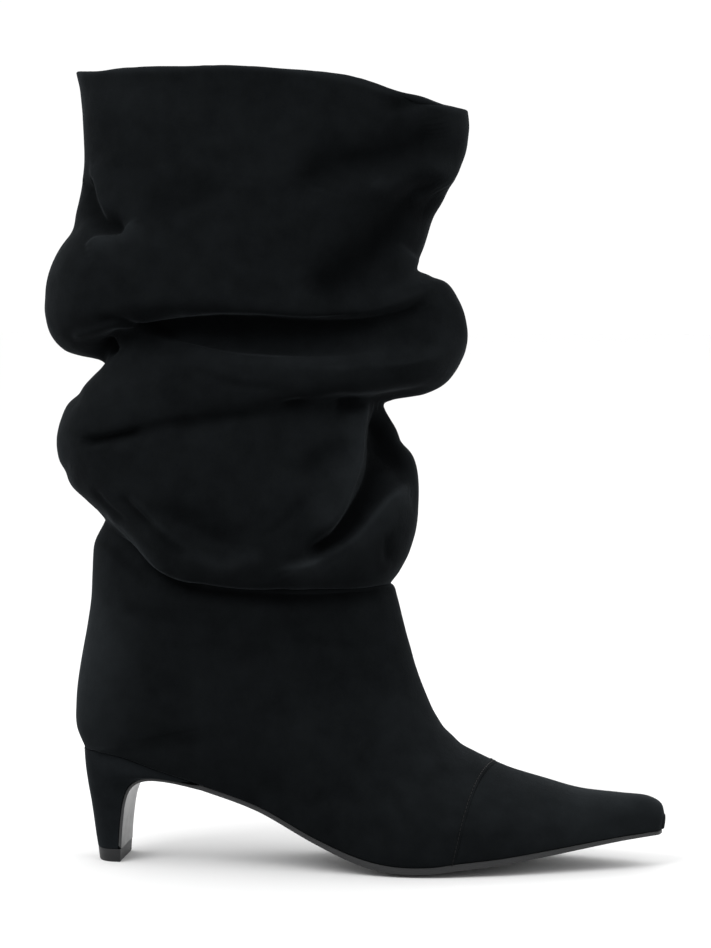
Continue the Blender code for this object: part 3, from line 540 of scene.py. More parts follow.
class Wire:
    """A socket of a material, so that what is done to its value reads as plain sums."""

    def __init__(self, material, socket=None):
        self.material = material
        self.socket = socket

    def node(self, kind, settings=None, inputs=None, output=0):
        """Any node: its settings are set first, then the values or wires of its inputs."""
        made = self.material.node_tree.nodes.new(kind)
        for key, value in (settings or {}).items():
            setattr(made, key, value)
        for key, value in (inputs or {}).items():
            if isinstance(value, Wire):
                self.material.node_tree.links.new(value.socket, made.inputs[key])
            else:
                made.inputs[key].default_value = value
        return Wire(self.material, made.outputs[output])

    def into(self, shader, socket):
        """Wires this value to a socket of a shader."""
        self.material.node_tree.links.new(self.socket, shader.inputs[socket])

    def sum(self, operation, *values):
        return self.node("ShaderNodeMath", {"operation": operation}, dict(enumerate(values)))

    def mix(self, share, first, second):
        """Between two colours, by a share from 0 to 1."""
        return self.node("ShaderNodeMix", {"data_type": "RGBA"}, {0: share, 6: first, 7: second}, 2)

    def cloud(self, size, detail=2.0, rough=0.5, stretch=None):
        """Soft noise from 0 to 1, its lumps about size metres across."""
        place = self.node("ShaderNodeTexCoord", output=3)
        if stretch:
            place = self.node("ShaderNodeMapping", inputs={"Vector": place, "Scale": stretch})
        return self.node("ShaderNodeTexNoise", inputs={
            "Vector": place, "Scale": 1 / size, "Detail": detail, "Roughness": rough})

    def between(self, low, high):
        """This value spread from 0 at low to 1 at high."""
        return self.node("ShaderNodeMapRange", {"interpolation_type": "SMOOTHSTEP"},
                         {"Value": self, "From Min": low, "From Max": high})

    def __add__(self, other):
        return self.sum("ADD", self, other)

    def __radd__(self, other):
        return self.sum("ADD", other, self)

    def __sub__(self, other):
        return self.sum("SUBTRACT", self, other)

    def __rsub__(self, other):
        return self.sum("SUBTRACT", other, self)

    def __mul__(self, other):
        return self.sum("MULTIPLY", self, other)

    def __rmul__(self, other):
        return self.sum("MULTIPLY", other, self)


def finish_of(name, sheen=0.0, sheen_colour=(1, 1, 1), sheen_rough=0.5, specular=0.5, coat_rough=0.1):
    """A new material's wire and shader, with what is the same all over it set on the shader itself."""
    made = bpy.data.materials.new(name)
    made.use_nodes = True
    shader = made.node_tree.nodes["Principled BSDF"]
    shader.inputs["Sheen Weight"].default_value = sheen
    shader.inputs["Sheen Tint"].default_value = (*sheen_colour, 1)
    shader.inputs["Sheen Roughness"].default_value = sheen_rough
    shader.inputs["Specular IOR Level"].default_value = specular
    shader.inputs["Coat Roughness"].default_value = coat_rough
    return Wire(made), shader


def suede_finish(name, dark, light):
    """Suede with a fine nap, brushed lighter and darker in soft patches a few centimetres across, and painted
    darker or lighter at each point as painted shade and painted highlight.
    """
    wire, shader = finish_of(name, sheen=SUEDE_SHEEN, sheen_colour=(0.80, 0.91, 1.0), sheen_rough=0.32,
                             specular=0.02)
    patches = wire.cloud(0.034, 2.5, 0.45)
    smudges = wire.cloud(0.009, 3.0, 0.5)
    nap = wire.cloud(0.0007, 3.0, 0.7)
    fibres = wire.cloud(0.0016, 3.0, 0.6, stretch=(1.0, 1.0, 0.45))
    painted_shading = wire.node("ShaderNodeAttribute", {"attribute_name": "painted_shade_and_light"}, output=2)
    tone = patches * 0.15 + smudges * 0.15 + fibres * 0.05 + nap * 0.04
    # painted shading: each point's value darkens the suede as painted shade and lightens it as painted
    # highlight
    tone = tone * (1 + painted_shading * 0.7) + wire.sum("MAXIMUM", painted_shading, 0.0) * 0.26
    wire.mix(tone, (*dark, 1), (*light, 1)).into(shader, "Base Color")
    (0.9 + nap * 0.1).into(shader, "Roughness")
    height = nap * 0.5 + fibres * 0.35 + smudges * 0.8
    bump = wire.node("ShaderNodeBump", inputs={"Strength": 0.8, "Distance": 0.0004, "Height": height})
    bump.into(shader, "Normal")
    return wire.material


SUEDE_SHEEN = 0.055
QUARTER_LOW = Vector((-0.118, 0, 0.040))    # metres, the box of the quarters over the seat
QUARTER_HIGH = Vector((-0.030, 0, 0.105))
QUARTER_UPRIGHT = 0.6   # how far up a normal may point there
QUARTER_PASSES = 110
black_suede = suede_finish("black_suede", (0.0005, 0.0006, 0.0007), (0.0345, 0.0400, 0.0442))
foot_ids = numbers_of(foot_rows)
leg_ids = numbers_of(leg_rings, foot_ids.size)
foot_faces = grid_faces(np.concatenate((foot_ids, leg_ids[:1, SEAT_STEPS:-SEAT_STEPS])))
foot_faces += grid_faces(leg_ids)
foot_points = np.concatenate((foot_rows.reshape(-1, 3), leg_rings.reshape(-1, 3)))

# What is turned in under the insole: the feather line as one loop, and its inner edge.
seat_ids = np.concatenate((leg_ids[0, -SEAT_STEPS - 1:-1], leg_ids[0, :SEAT_STEPS + 1]))
feather_loop = np.concatenate((foot_ids[::-1, 0], foot_ids[:, -1], seat_ids))
inner_plan = [(x, y + wide) for x, y, wide in zip(margin_x, feather_out, margin)][::-1]
inner_plan += [(x, y - wide) for x, y, wide in zip(margin_x, feather_in, margin)]
inner_plan += [(drawn_x[-1] + LASTING_MARGIN, foot_points[k, 1] * SEAT_SHARE) for k in seat_ids]
inner_loop = np.array([(x, y, seat_height(x, y)) for x, y in inner_plan])
loops = np.array([foot_points[feather_loop] * (1 - share) + inner_loop * share for share in MARGIN_STEPS])
loop_ids = np.concatenate((feather_loop[None], numbers_of(loops, len(foot_points))))
foot_faces += grid_faces(np.concatenate((loop_ids, loop_ids[:, :1]), axis=1))
foot_points = np.concatenate((foot_points, loops.reshape(-1, 3)))
suede_foot = piece_from("suede_foot", foot_points, foot_faces, black_suede, slackened)

# The quarters are lasted smooth over the heel seat.
smoothing = bmesh.new()
smoothing.from_mesh(suede_foot.data)
quarters = [v for v in smoothing.verts if QUARTER_LOW.x < v.co.x < QUARTER_HIGH.x
            and QUARTER_LOW.z < v.co.z < QUARTER_HIGH.z and not any(e.is_boundary for e in v.link_edges)
            and abs(v.normal.z) < QUARTER_UPRIGHT]
for _ in range(QUARTER_PASSES):
    bmesh.ops.smooth_vert(smoothing, verts=quarters, factor=0.5, use_axis_x=False, use_axis_y=True,
                          use_axis_z=False)
smoothing.to_mesh(suede_foot.data)
smoothing.free()
suede_foot.data.update()
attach(suede_foot, "root")
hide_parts("upper")

# The collar's edge is turned over and comes down inside as a facing.
ring = shaft_rings[-1, :-1]
along_ring = np.roll(ring, -1, axis=0) - np.roll(ring, 1, axis=0)
inwards = np.stack((-along_ring[:, 1], along_ring[:, 0], 0 * along_ring[:, 0]), axis=1)
inwards /= np.linalg.norm(inwards, axis=1)[:, None]
inwards = np.concatenate((inwards, inwards[:1]))
turned = [shaft_rings[-1] + inwards * step_in + (0, 0, step_up) for step_in, step_up in COLLAR_EDGE]
facing_rows = [row + inwards * FACING_INSIDE for row in shaft_rings[-2:-COLLAR_FACING - 2:-1]]
shaft_grid = np.array([*shaft_rings, *turned, *facing_rows])
suede_shaft = piece_from("suede_shaft", shaft_grid.reshape(-1, 3), grid_faces(numbers_of(shaft_grid)),
                         black_suede, slackened)
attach(suede_shaft, "root")
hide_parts("upper")


# THE LINING
# Thin black lining leather, pasted to the back of the suede from the collar's facing down to the
# insole, so it takes every fold of the shaft a little smaller.

LINING_INSIDE = 2.0
LINING_SLACK = 3.0      # how much further in it lies where the suede is creased
LINING_LEAVES = 7       # the ring from which it runs free of the tucked hem
LINING_TUCK = {"back_x": 14.4, "back_z": 158.2}     # where it passes the hem, at the back
LINING_MEETS = 13       # the ring at which it meets the lower roll again
LINING_STARTS = 3       # how many of its rings below the collar's edge it begins
LINING_STEPS = 22       # steps over each half of a section
LINING_BACK_STEPS = 6   # columns that its closed rings have more, on either side of the back
LINING_WIDEST = 3.6
SLACK_FROM = 130.0      # height from which it lies slack, and over how much more it grows so
SLACK_GROWS = 20.0
COLLAR_UNDERSIDE = 342.0    # height at the back above which it lies flat behind the collar's facing
COLLAR_FALL = 0.105     # and how that falls towards the front
COLLAR_FADE = 8.0


def leather_finish(name, dark, light, rough, grain=0.0011, relief=0.00012, specular=0.4):
    """Smooth leather with a fine pebble grain and a little unevenness in its dye."""
    wire, shader = finish_of(name, specular=specular)
    dye = wire.cloud(0.02, 4.0, 0.6)
    place = wire.node("ShaderNodeTexCoord", output=3)
    pebbles = wire.node("ShaderNodeTexVoronoi", inputs={"Vector": place, "Scale": 1 / grain})
    colour = wire.mix((dye * 0.8 + pebbles * 0.3).between(0.2, 0.9), (*dark, 1), (*light, 1))
    colour.into(shader, "Base Color")
    (rough - 0.08 + dye * 0.16).into(shader, "Roughness")
    bump = wire.node("ShaderNodeBump", inputs={"Strength": 0.5, "Distance": relief,
                                               "Height": 1 - pebbles + dye * 0.4})
    bump.into(shader, "Normal")
    return wire.material


def lined(points, normals):
    """The suede's points with their pushes and creases, moved in to where the lining lies."""
    moved, tone = slackened(points, normals)
    under_collar = COLLAR_UNDERSIDE - points[:, 0] * COLLAR_FALL - points[:, 2]
    slack = np.clip(points[:, 2] - SLACK_FROM, 0, SLACK_GROWS) / SLACK_GROWS
    slack = slack * np.clip(under_collar / COLLAR_FADE, 0, 1)
    return moved - normals * (LINING_INSIDE + LINING_SLACK * np.abs(tone) * slack)[:, None], tone


lining_leather = leather_finish("lining_leather", (0.004, 0.0043, 0.0047), (0.010, 0.0105, 0.0112), 0.7,
                                specular=0.2)
lining_rows, lining_rings = foot_surface(LINING_STEPS, LINING_STEPS, LINING_BACK_STEPS, LINING_WIDEST)
lining_rows = lining_rows[TIP_ROWS:]
shaft_table = named(SHAFT, SHAFT_COLUMNS)
leaves = shaft_table[LINING_LEAVES]
passes = dict(shaft_table[LINING_LEAVES + 1], **LINING_TUCK)
free_rings = np.array([shaft_ring(ring, LINING_STEPS + LINING_BACK_STEPS, LINING_STEPS)
                       for ring in [leaves, passes] + shaft_table[LINING_MEETS:]])
free_rings = rows_between(free_rings, counts_for(free_rings, LINING_WIDEST))
below_tuck = lining_rings[:, 0, 2] < leaves["back_z"] - 0.1
lining_rings = np.concatenate((lining_rings[below_tuck], free_rings[:-LINING_STARTS]))
row_ids = numbers_of(lining_rows)
ring_ids = numbers_of(lining_rings, row_ids.size)
lining_faces = grid_faces(np.concatenate((row_ids, ring_ids[:1, LINING_BACK_STEPS:-LINING_BACK_STEPS])))
lining_faces += grid_faces(ring_ids)
lining = piece_from("lining", np.concatenate((lining_rows.reshape(-1, 3), lining_rings.reshape(-1, 3))),
                    lining_faces, lining_leather, lined)
lining.data.flip_normals()
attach(lining, "root")


# THE INSOLE
# A thin board that lies on the turned-in margin, covered with a sock of the same leather as the
# lining, a little padded so that its edge rounds down.

FIT = 0.3
SOCK_INSET = 2.4
SOCK_THICK = 2.2
SOCK_BACK = 4.1         # how far it stays inside the back of the seat
SOCK_ACROSS = 24


def slab(name, tops, bottoms, bulge, finish, sharp):
    """A closed sheet between rows of its upper and lower face, with edges that bulge out a little."""
    across = tops.shape[1]
    middle = (tops[:, (0, -1)] + bottoms[:, (0, -1)]) / 2 + np.array(((0, -bulge, 0), (0, bulge, 0)))
    loop = np.concatenate((tops, middle[:, 1:], bottoms[:, ::-1], middle[:, :1], tops[:, :1]), axis=1)
    ids = numbers_of(loop)
    faces = grid_faces(ids)
    for end in (ids[0].tolist(), ids[-1].tolist()):
        faces += [(end[k], end[k + 1], end[2 * across - 1 - k], end[2 * across - k])
                  for k in range(across - 1)]
        faces.append((end[across - 1], end[across], end[across + 1]))
        faces.append((end[0], end[2 * across], end[2 * across + 1]))
    made = piece_from(name, loop.reshape(-1, 3), faces, finish)
    made.data.set_sharp_from_angle(angle=math.radians(sharp))
    return made


across_sock = np.linspace(-1, 1, SOCK_ACROSS)
sock_rows = []
for x, out_y, in_y in zip(feather_x, feather_out, feather_in):
    half = (in_y - out_y) / 2 - SOCK_INSET
    if sections[2]["sole_x"] >= x >= drawn_x[-1] + SOCK_BACK and half > 2:
        y = (out_y + in_y) / 2 + half * across_sock
        sock_rows.append(np.stack((np.full(SOCK_ACROSS, x), y, seat_height(x, y) + WALL + FIT), axis=1))
sock_rows = np.array(sock_rows)
rise = np.gradient(sock_rows[:, 0, 2], sock_rows[:, 0, 0])
sock_rows[..., 2] += ((np.hypot(1, rise) - 1) * (WALL + FIT))[:, None]
rounded = SOCK_THICK * (1 - 0.45 * np.abs(across_sock) ** 10)
sock_tops = sock_rows + np.stack((0 * rounded, 0 * rounded, rounded), axis=1)
leather_sock = slab("leather_sock", sock_tops, sock_rows, 0.3, lining_leather, 60)
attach(leather_sock, "root")
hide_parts("insole")


# THE VAMP AND BACK SEAMS
# The vamp laps over the toe along a slanting closed seam, and the shaft is closed down its back.
# Each is a folded edge with one row of fine stitches beside it.

STITCH_PITCH = 0.0021
STITCH_LENGTH = 0.0015
STITCH_THICK = 0.00024
THREAD_PROUD = 0.00012  # how far the thread's middle stands over the suede
SEAM_SINKS = 0.35       # share of half a seam over which it sinks into the nap
SEAM_SUNK = 0.2         # what is left of it there
SEAM_PROFILE = ((-1.0, -0.5), (-0.8, 0.5), (-0.3, 0.95), (0.3, 0.95), (0.8, 0.5), (1.0, -0.5))
VAMP_TURNS = np.linspace(-104, 104, 91)     # degrees round the foot, from the outer side over the top
VAMP_MIDDLE = (5.0, 17.0)   # where those turns have their centre, in y and z
VAMP_SEAM_X = 194.6
VAMP_LEAN = 10.4        # how far the seam leans back at 75 degrees
VAMP_THREAD = 1.3       # how far behind the seam the thread runs
VAMP_LOWEST = 0.0045    # metres, where both end over the sole
BACK_HEIGHTS = np.arange(60, 362, 0.7)
BACK_THREAD = 2.0       # how far beside the seam the thread runs
BACK_REACH = 40.0       # nothing further in belongs to the back
BACK_JUMP = 0.006       # metres, a longer step would leave the leather


def seam_edge(name, path, normals, half_width, height, finish, faded=0.999):
    """A low rounded edge along a path that lies on the leather, in metres. It sinks in beyond faded."""
    path, normals = np.array(path), np.array(normals)
    along = np.gradient(path, axis=0)
    across = np.cross(along, normals)
    across /= np.linalg.norm(across, axis=1)[:, None]
    sinks = faded + SEAM_SINKS
    proud = np.interp(np.linspace(-1, 1, len(path)), (-sinks, -faded, faded, sinks),
                      (SEAM_SUNK, 1, 1, SEAM_SUNK))[:, None]
    grid = np.array([path + (across * (half_width * side) + normals * (height * up)) * proud
                     for side, up in SEAM_PROFILE])
    grid = np.concatenate((grid, grid[:1])) * 1000 + (*ORIGIN, 0)
    ids = numbers_of(grid)
    caps = [tuple(ids[:-1, 0].tolist()), tuple(ids[-2::-1, -1].tolist())]
    return piece_from(name, grid.reshape(-1, 3), grid_faces(ids) + caps, finish)


def stitch_tree():
    """Geometry nodes that lay stitches of one length at one pitch along a path of edges."""
    tree = bpy.data.node_groups.new("row_of_stitches", "GeometryNodeTree")
    sockets, nodes = tree.interface, tree.nodes
    sockets.new_socket("Path", in_out="INPUT", socket_type="NodeSocketGeometry")
    for name, value in (("Pitch", STITCH_PITCH), ("Length", STITCH_LENGTH), ("Thickness", STITCH_THICK)):
        sockets.new_socket(name, in_out="INPUT", socket_type="NodeSocketFloat").default_value = value
    sockets.new_socket("Thread", in_out="INPUT", socket_type="NodeSocketMaterial")
    sockets.new_socket("Stitches", in_out="OUTPUT", socket_type="NodeSocketGeometry")
    given, result = nodes.new("NodeGroupInput"), nodes.new("NodeGroupOutput")
    curve = nodes.new("GeometryNodeMeshToCurve")
    even = nodes.new("GeometryNodeResampleCurve")
    even.mode = "LENGTH"
    run = nodes.new("GeometryNodeInputTangent")
    turn = nodes.new("FunctionNodeAlignEulerToVector")
    turn.axis = "Z"
    thread = nodes.new("GeometryNodeMeshCylinder")
    thread.inputs["Vertices"].default_value = 6
    place = nodes.new("GeometryNodeInstanceOnPoints")
    real = nodes.new("GeometryNodeRealizeInstances")
    paint = nodes.new("GeometryNodeSetMaterial")
    for giver, value, taker, socket in (
            (given, "Path", curve, "Mesh"), (curve, "Curve", even, "Curve"), (given, "Pitch", even, "Length"),
            (run, "Tangent", turn, "Vector"), (given, "Length", thread, "Depth"),
            (given, "Thickness", thread, "Radius"), (even, "Curve", place, "Points"),
            (thread, "Mesh", place, "Instance"), (turn, "Rotation", place, "Rotation"),
            (place, "Instances", real, "Geometry"), (real, "Geometry", paint, "Geometry"),
            (given, "Thread", paint, "Material"), (paint, "Geometry", result, "Stitches")):
        tree.links.new(giver.outputs[value], taker.inputs[socket])
    return tree


def stitches(name, path, finish):
    """A row of stitches along a path in metres, as one plain mesh."""
    mesh = bpy.data.meshes.new(name + "_path")
    mesh.from_pydata([tuple(p) for p in path], [(k, k + 1) for k in range(len(path) - 1)], [])
    guide = placed(name + "_path", mesh)
    rows = guide.modifiers.new("stitches", "NODES")
    rows.node_group = stitch_nodes
    sockets = {item.name: item.identifier for item in stitch_nodes.interface.items_tree
               if item.in_out == "INPUT"}
    rows[sockets["Thread"]] = finish
    bpy.context.view_layer.update()
    ready = guide.evaluated_get(bpy.context.evaluated_depsgraph_get())
    sewn = bpy.data.meshes.new_from_object(ready)
    bpy.data.objects.remove(guide)
    return placed(name, sewn)


stitch_nodes = stitch_tree()
thread_wire, thread_shader = finish_of("black_thread", specular=0.2)
twist = thread_wire.cloud(0.0004, 2.0, 0.5)
twisted = thread_wire.mix(twist, (0.0015, 0.0016, 0.0018, 1), (0.0070, 0.0075, 0.0080, 1))
twisted.into(thread_shader, "Base Color")
thread_shader.inputs["Roughness"].default_value = 0.6

# The vamp seam goes over the foot from feather line to feather line, leaning back at the sides.
vamp_path, vamp_normals, thread_path = [], [], []
for turn in VAMP_TURNS:
    lean = VAMP_LEAN * (abs(turn) / 75) ** 1.2
    for apart, kept in ((0.0, vamp_path), (-VAMP_THREAD, thread_path)):
        axis = Vector((VAMP_SEAM_X - lean + apart - ORIGIN[0], VAMP_MIDDLE[0] - ORIGIN[1], VAMP_MIDDLE[1]))
        out = Vector((0, math.sin(math.radians(turn)), math.cos(math.radians(turn))))
        hit, where, normal, _ = suede_foot.ray_cast(axis * 0.001 + out * 0.1, -out)
        if hit and where.z > VAMP_LOWEST:
            kept.append(where + normal * (0.0 if kept is vamp_path else THREAD_PROUD))
            if kept is vamp_path:
                vamp_normals.append(normal)
# The seams' suede is a darker copy of the upper's, as painted shade along their folded edges.
seam_suede_painted_darker = suede_finish("seam_suede_painted_darker", (0.0003, 0.0003, 0.0004), (0.0200, 0.0230, 0.0250))
vamp_seam = seam_edge("vamp_seam", vamp_path, vamp_normals, 0.0006, 0.00022, seam_suede_painted_darker, faded=0.25)
vamp_stitches = stitches("vamp_stitches", thread_path, thread_wire.material)

# The back seam follows the middle of the back, from the heel seat up to the collar.
back_path, back_normals, back_thread = [], [], []
for height in BACK_HEIGHTS:
    for across, kept in ((0.0, back_path), (BACK_THREAD, back_thread)):
        start = Vector((-0.2, (across - ORIGIN[1]) * 0.001, height * 0.001))
        for leather in (suede_foot, suede_shaft):
            hit, where, normal, _ = leather.ray_cast(start, Vector((1, 0, 0)))
            if hit and where.x < (BACK_REACH - ORIGIN[0]) * 0.001:
                if kept and (where - kept[-1]).length > BACK_JUMP:
                    continue
                kept.append(where + normal * (0.0 if kept is back_path else THREAD_PROUD))
                if kept is back_path:
                    back_normals.append(normal)
                break
back_seam = seam_edge("back_seam", back_path, back_normals, 0.0007, 0.0003, seam_suede_painted_darker)
back_stitches = stitches("back_stitches", back_thread, thread_wire.material)
for seam in (vamp_seam, vamp_stitches, back_seam, back_stitches):
    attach(seam, "root")


# THE OUTSOLE
# Thin black sole leather, cemented on. It is flat under the ball, thins to the toe and the arch, and
# runs down the front of the heel as a flap with a waxed, polished face.

SOLE_THICK = ((0.40, 2.1), (0.52, 3.0), (0.70, 3.0), (1.0, 1.5))    # share of LENGTH, mm
SOLE_BREAST = 1.4
SOLE_BACK = 13          # the last section of the foot that the sole follows
SOLE_ACROSS = 28
SOLE_WIDEST = 1.6
FLAP_POINTS_TO = (22.7, 5.3)    # where its face would go on to, below its last row
BREAST_COLUMNS = ("x", "z", "half")
BREAST = (
    (57.0, 36.9, 25.0), (50.0, 38.2, 23.8), (43.0, 39.0, 22.4), (36.5, 39.0, 20.9), (31.2, 37.5, 19.1),
    (27.4, 34.2, 17.6), (25.1, 28.5, 16.4), (23.8, 20.5, 15.6), (23.0, 12.0, 15.0), (22.7, 6.3, 14.8),
)
breast = named(BREAST, BREAST_COLUMNS)
before_breast = sections[SOLE_BACK]
breast_line = [(before_breast["sole_x"], before_breast["sole_z"] - FIT - SOLE_THICK[0][1])]
breast_line += [(row["x"], row["z"]) for row in breast] + [FLAP_POINTS_TO]
breast_across = []
for k in range(1, len(breast_line) - 1):
    run = breast_line[k + 1][0] - breast_line[k - 1][0]
    climb = breast_line[k + 1][1] - breast_line[k - 1][1]
    if k == len(breast_line) - 2:
        run, climb = 0.0, -1.0
    breast_across.append(np.array((climb, 0.0, -run)) / math.hypot(run, climb))

stations = np.linspace(-1, 1, SOLE_ACROSS)
sole_top, sole_bottom = [], []
climbs = np.gradient(feather_z, feather_x + np.arange(len(feather_x)) * -1e-9)
for k in range(TIP_ROWS, len(feather_x)):
    if feather_x[k] < before_breast["sole_x"] - 0.1:
        break
    steep = math.hypot(1, float(np.clip(climbs[k], -1, 1)))
    thick = np.interp(feather_x[k] / LENGTH, *zip(*SOLE_THICK))
    middle, half = (feather_out[k] + feather_in[k]) / 2, (feather_in[k] - feather_out[k]) / 2
    y = middle + half * stations
    z = seat_height(feather_x[k], y)
    x = np.full(SOLE_ACROSS, feather_x[k])
    sole_top.append(np.stack((x, y, z - FIT * steep), axis=1))
    sole_bottom.append(np.stack((x, y, np.maximum(0, z - (FIT + thick) * steep)), axis=1))
outer = np.array([[(row["x"], row["half"] * v, row["z"]) for v in stations] for row in breast])
inner = np.array([rows + across * SOLE_BREAST for rows, across in zip(outer, breast_across)])
for made, rows in ((sole_bottom, outer), (sole_top, inner)):
    joined = np.concatenate((made[-4::2], rows))
    counts = counts_for(joined, SOLE_WIDEST)
    made += list(rows_between(joined, counts)[sum(counts[:len(made[-4::2]) - 1]) + 1:])
size = min(len(sole_top), len(sole_bottom))


def waxed_finish(name, dark, light):
    """Sole leather, waxed and burnished, a little scuffed where it treads, and polished on its flap, whose
    colour is also painted lighter as a painted reflection.
    """
    wire, shader = finish_of(name, specular=0.35, coat_rough=0.22)
    fibre = wire.cloud(0.004, 5.0, 0.65, stretch=(0.35, 1.0, 1.0))
    scuff = wire.cloud(0.03, 5.0, 0.7).between(0.45, 0.8)
    place = wire.node("ShaderNodeSeparateXYZ", inputs={0: wire.node("ShaderNodeTexCoord", output=3)})
    flap_polish_and_painted_gloss = (0 - place).between(FLAP_FRONT[0], FLAP_FRONT[1])
    # the flap's colour is painted lighter as a painted reflection; its lower roughness and stronger coat are
    # its real polish
    wire.mix(fibre * 0.6 + scuff * 0.2 + flap_polish_and_painted_gloss * 0.3, (*dark, 1), (*light, 1)).into(shader, "Base Color")
    (0.42 + scuff * 0.18 + fibre * 0.06 - flap_polish_and_painted_gloss * 0.08).into(shader, "Roughness")
    (0.12 - scuff * 0.1 + flap_polish_and_painted_gloss * 0.16).into(shader, "Coat Weight")
    bump = wire.node("ShaderNodeBump", inputs={"Strength": 0.35, "Distance": 0.0001, "Height": fibre})
    bump.into(shader, "Normal")
    return wire.material


FLAP_FRONT = (0.075, 0.095)     # metres behind the origin, from where the sole turns down as a flap
sole_leather = waxed_finish("sole_leather", (0.014, 0.0145, 0.0155), (0.036, 0.0375, 0.039))
leather_sole = slab("leather_sole", np.array(sole_top[:size]), np.array(sole_bottom[:size]), 0.25,
                    sole_leather, 50)
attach(leather_sole, "root")
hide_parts("outsole")


# THE HEEL
# A slim wooden heel covered in the same suede, drawn tight and closed behind the sole's flap. It is
# D-shaped in plan: rounded behind, straight in front.

HEEL_COLUMNS = ("back_x", "back_z", "half_out", "half_in", "round")
HEEL = (
    (3.9, 52.6, 26.6, 24.4, 3.1), (4.2, 48.0, 25.9, 24.0, 3.1), (4.6, 43.0, 24.9, 23.2, 3.0),
    (5.2, 38.0, 23.2, 21.9, 2.9), (5.9, 33.0, 21.2, 20.2, 2.8), (6.7, 28.0, 19.2, 18.5, 2.7),
    (7.5, 22.0, 17.5, 17.0, 2.6), (8.3, 16.0, 16.2, 16.0, 2.6), (9.0, 11.0, 15.4, 15.4, 2.6),
    (9.8, 6.3, 15.0, 15.0, 2.6),
)
HEEL_AROUND = 30        # steps round each half of the heel
HEEL_WIDEST = 1.5


def heel_ring(row):
    """A D-shaped ring: straight in front, rounded behind, from the outer to the inner front corner."""
    angle = np.arange(2 * HEEL_AROUND + 1) / HEEL_AROUND * math.pi / 2
    turned = np.where(angle <= math.pi / 2, angle, math.pi - angle)
    cos, sin = quarter(turned, row["round"])
    x = row["front_x"] + (row["back_x"] - row["front_x"]) * sin
    z = row["front_z"] + (row["back_z"] - row["front_z"]) * sin
    y = np.where(angle <= math.pi / 2, -row["half_out"] * cos, row["half_in"] * cos)
    front_y = np.linspace(row["half_in"], -row["half_out"], 9)
    front = [(row["front_x"], at, row["front_z"]) for at in front_y[1:]]
    return np.concatenate((np.stack((x, y, z), axis=1), front))


def stack(name, rings, finish, sharp):
    """A closed piece from rings of points, top ring first, with flat ends."""
    ids = numbers_of(rings)
    faces = grid_faces(ids)
    faces += [tuple(ids[0, :-1].tolist()), tuple(ids[-1, -2::-1].tolist())]
    made = piece_from(name, rings.reshape(-1, 3), faces, finish)
    made.data.set_sharp_from_angle(angle=math.radians(sharp))
    return made


heel_rings = []
for row, (front_x, front_z), across in zip(named(HEEL, HEEL_COLUMNS), breast_line[1:], breast_across):
    front = np.array((front_x, 0.0, front_z)) + across * (SOLE_BREAST + FIT)
    heel_rings.append(heel_ring(dict(row, front_x=front[0], front_z=front[2])))
heel_rings = np.array(heel_rings)
heel_rings[0, :, 2] = seat_height(heel_rings[0, :, 0], heel_rings[0, :, 1]) - 1.5 * FIT
heel_rings = rows_between(heel_rings, counts_for(heel_rings, HEEL_WIDEST))
# The heel's suede is a lighter copy of the upper's, as a painted highlight over the heel.
heel_suede_painted_lighter = suede_finish("heel_suede_painted_lighter", (0.0012, 0.0015, 0.0018), (0.0560, 0.0650, 0.0730))
covered_heel = stack("covered_heel", heel_rings, heel_suede_painted_lighter, 55)
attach(covered_heel, "root")
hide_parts("heel")


# THE TOP LIFT
# A slip of hard grey rubber nailed under the heel, as wide as the heel and ground smooth round its
# edge, with a small chamfer at the floor.

LIFT_COLUMNS = ("z", "back_x", "front_x", "half")
LIFT = ((6.0, 10.0, 22.3, 15.0), (5.7, 9.9, 22.4, 15.1), (3.0, 10.2, 22.3, 14.9),
        (0.5, 10.5, 22.2, 14.75), (0.0, 10.9, 21.9, 14.4))
rubber_wire, rubber_shader = finish_of("lift_rubber", specular=0.2)
specks = rubber_wire.cloud(0.0009, 3.0, 0.7)
speckled = rubber_wire.mix(specks, (0.016, 0.0165, 0.0175, 1), (0.036, 0.037, 0.039, 1))
speckled.into(rubber_shader, "Base Color")
(0.42 + specks * 0.2).into(rubber_shader, "Roughness")
lift_rings = np.array([heel_ring(dict(back_x=row["back_x"], back_z=row["z"], front_x=row["front_x"],
                                      front_z=row["z"], half_out=row["half"], half_in=row["half"], round=2.6))
                       for row in named(LIFT, LIFT_COLUMNS)])
rubber_lift = stack("rubber_lift", lift_rings, rubber_wire.material, 35)
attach(rubber_lift, "root")
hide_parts("top_lift")


# THE STUDIO
# A white paper floor in even light, with a mild key from the upper left. The camera stands where the
# photographer's did, a little below the collar, and looks slightly down.

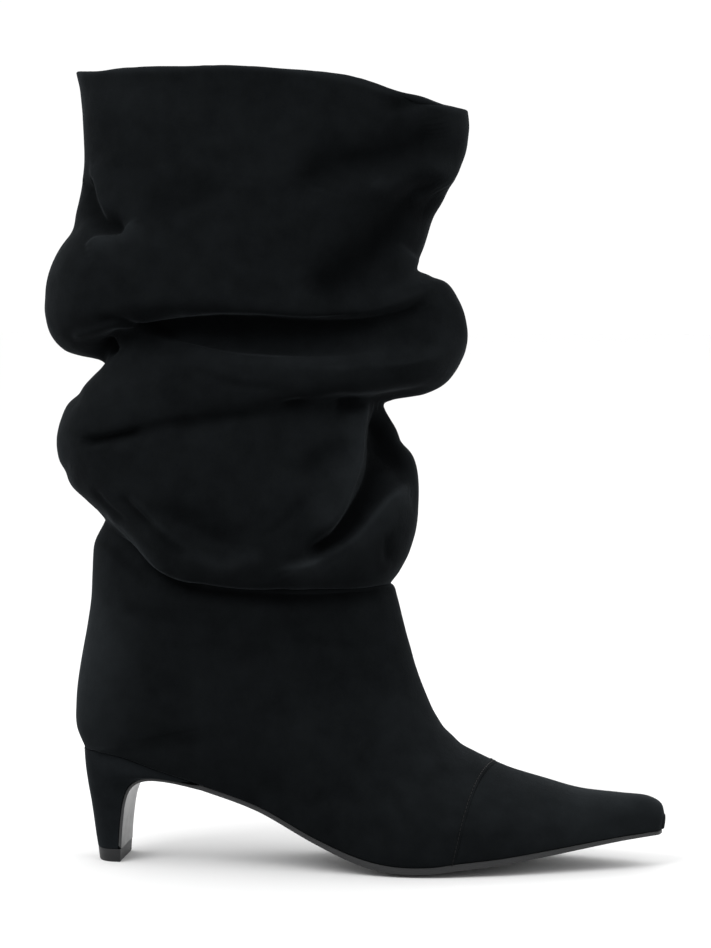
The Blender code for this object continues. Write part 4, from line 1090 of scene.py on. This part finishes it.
floor_mesh = bpy.data.meshes.new("paper_floor")
floor_mesh.from_pydata([(-9, -9, 0), (9, -9, 0), (9, 9, 0), (-9, 9, 0)], [], [(0, 1, 2, 3)])
paper_floor = placed("paper_floor", floor_mesh)
paper, paper_shader = finish_of("white_paper", specular=0.1)
paper_shader.inputs["Base Color"].default_value = (0.93, 0.93, 0.93, 1)
paper_shader.inputs["Roughness"].default_value = 0.9
floor_mesh.materials.append(paper.material)
paper_floor.visible_diffuse = False

world = bpy.data.worlds.new("white_studio")
bpy.context.scene.world = world
world.use_nodes = True
sky = Wire(world)
heading = sky.node("ShaderNodeTexCoord", output=0)
apart = [sky.node("ShaderNodeSeparateXYZ", inputs={0: heading}, output=k) for k in range(3)]
behind = apart[1].between(-0.95, 0.1)
above = apart[2].between(-0.5, 0.1)
light = (0.35 + behind * 0.95) * (0.5 + above * 0.5)
seen = sky.node("ShaderNodeLightPath", output=0)
strength = light * (1 - seen) + seen * 1.05
background = world.node_tree.nodes["Background"]
background.inputs["Color"].default_value = (1, 1, 1, 1)
strength.into(background, "Strength")

LAMP_COLUMNS = ("name", "place", "power", "width")
LAMPS = (
    ("key", (-0.9, -1.3, 1.7), 22.0, 1.2),
    ("fill", (1.5, -0.9, 1.2), 8.0, 1.4),
)
LAMPS_AIM = (0, 0, 0.15)
for lamp in named(LAMPS, LAMP_COLUMNS):
    light = bpy.data.lights.new(lamp["name"], "AREA")
    light.energy = lamp["power"]
    light.size = lamp["width"]
    stand = placed(lamp["name"], light)
    stand.location = lamp["place"]
    stand.rotation_euler = (Vector(LAMPS_AIM) - stand.location).to_track_quat("-Z", "Y").to_euler()

CAMERA_PLACE = (0.1626, -1.4908, 0.285)
CAMERA_TURN = math.radians(6.19)
CAMERA_DOWN = math.radians(4.012)
CAMERA_LENS = 124.25
camera_data = bpy.data.cameras.new("camera")
camera_data.lens = CAMERA_LENS
camera_data.sensor_width = 36.0
camera = placed("camera", camera_data)
camera.location = CAMERA_PLACE
forward = Vector((-math.sin(CAMERA_TURN) * math.cos(CAMERA_DOWN),
                  math.cos(CAMERA_TURN) * math.cos(CAMERA_DOWN), -math.sin(CAMERA_DOWN)))
camera.rotation_euler = forward.to_track_quat("-Z", "Y").to_euler()
bpy.context.scene.camera = camera
bpy.context.scene.view_settings.view_transform = "Standard"
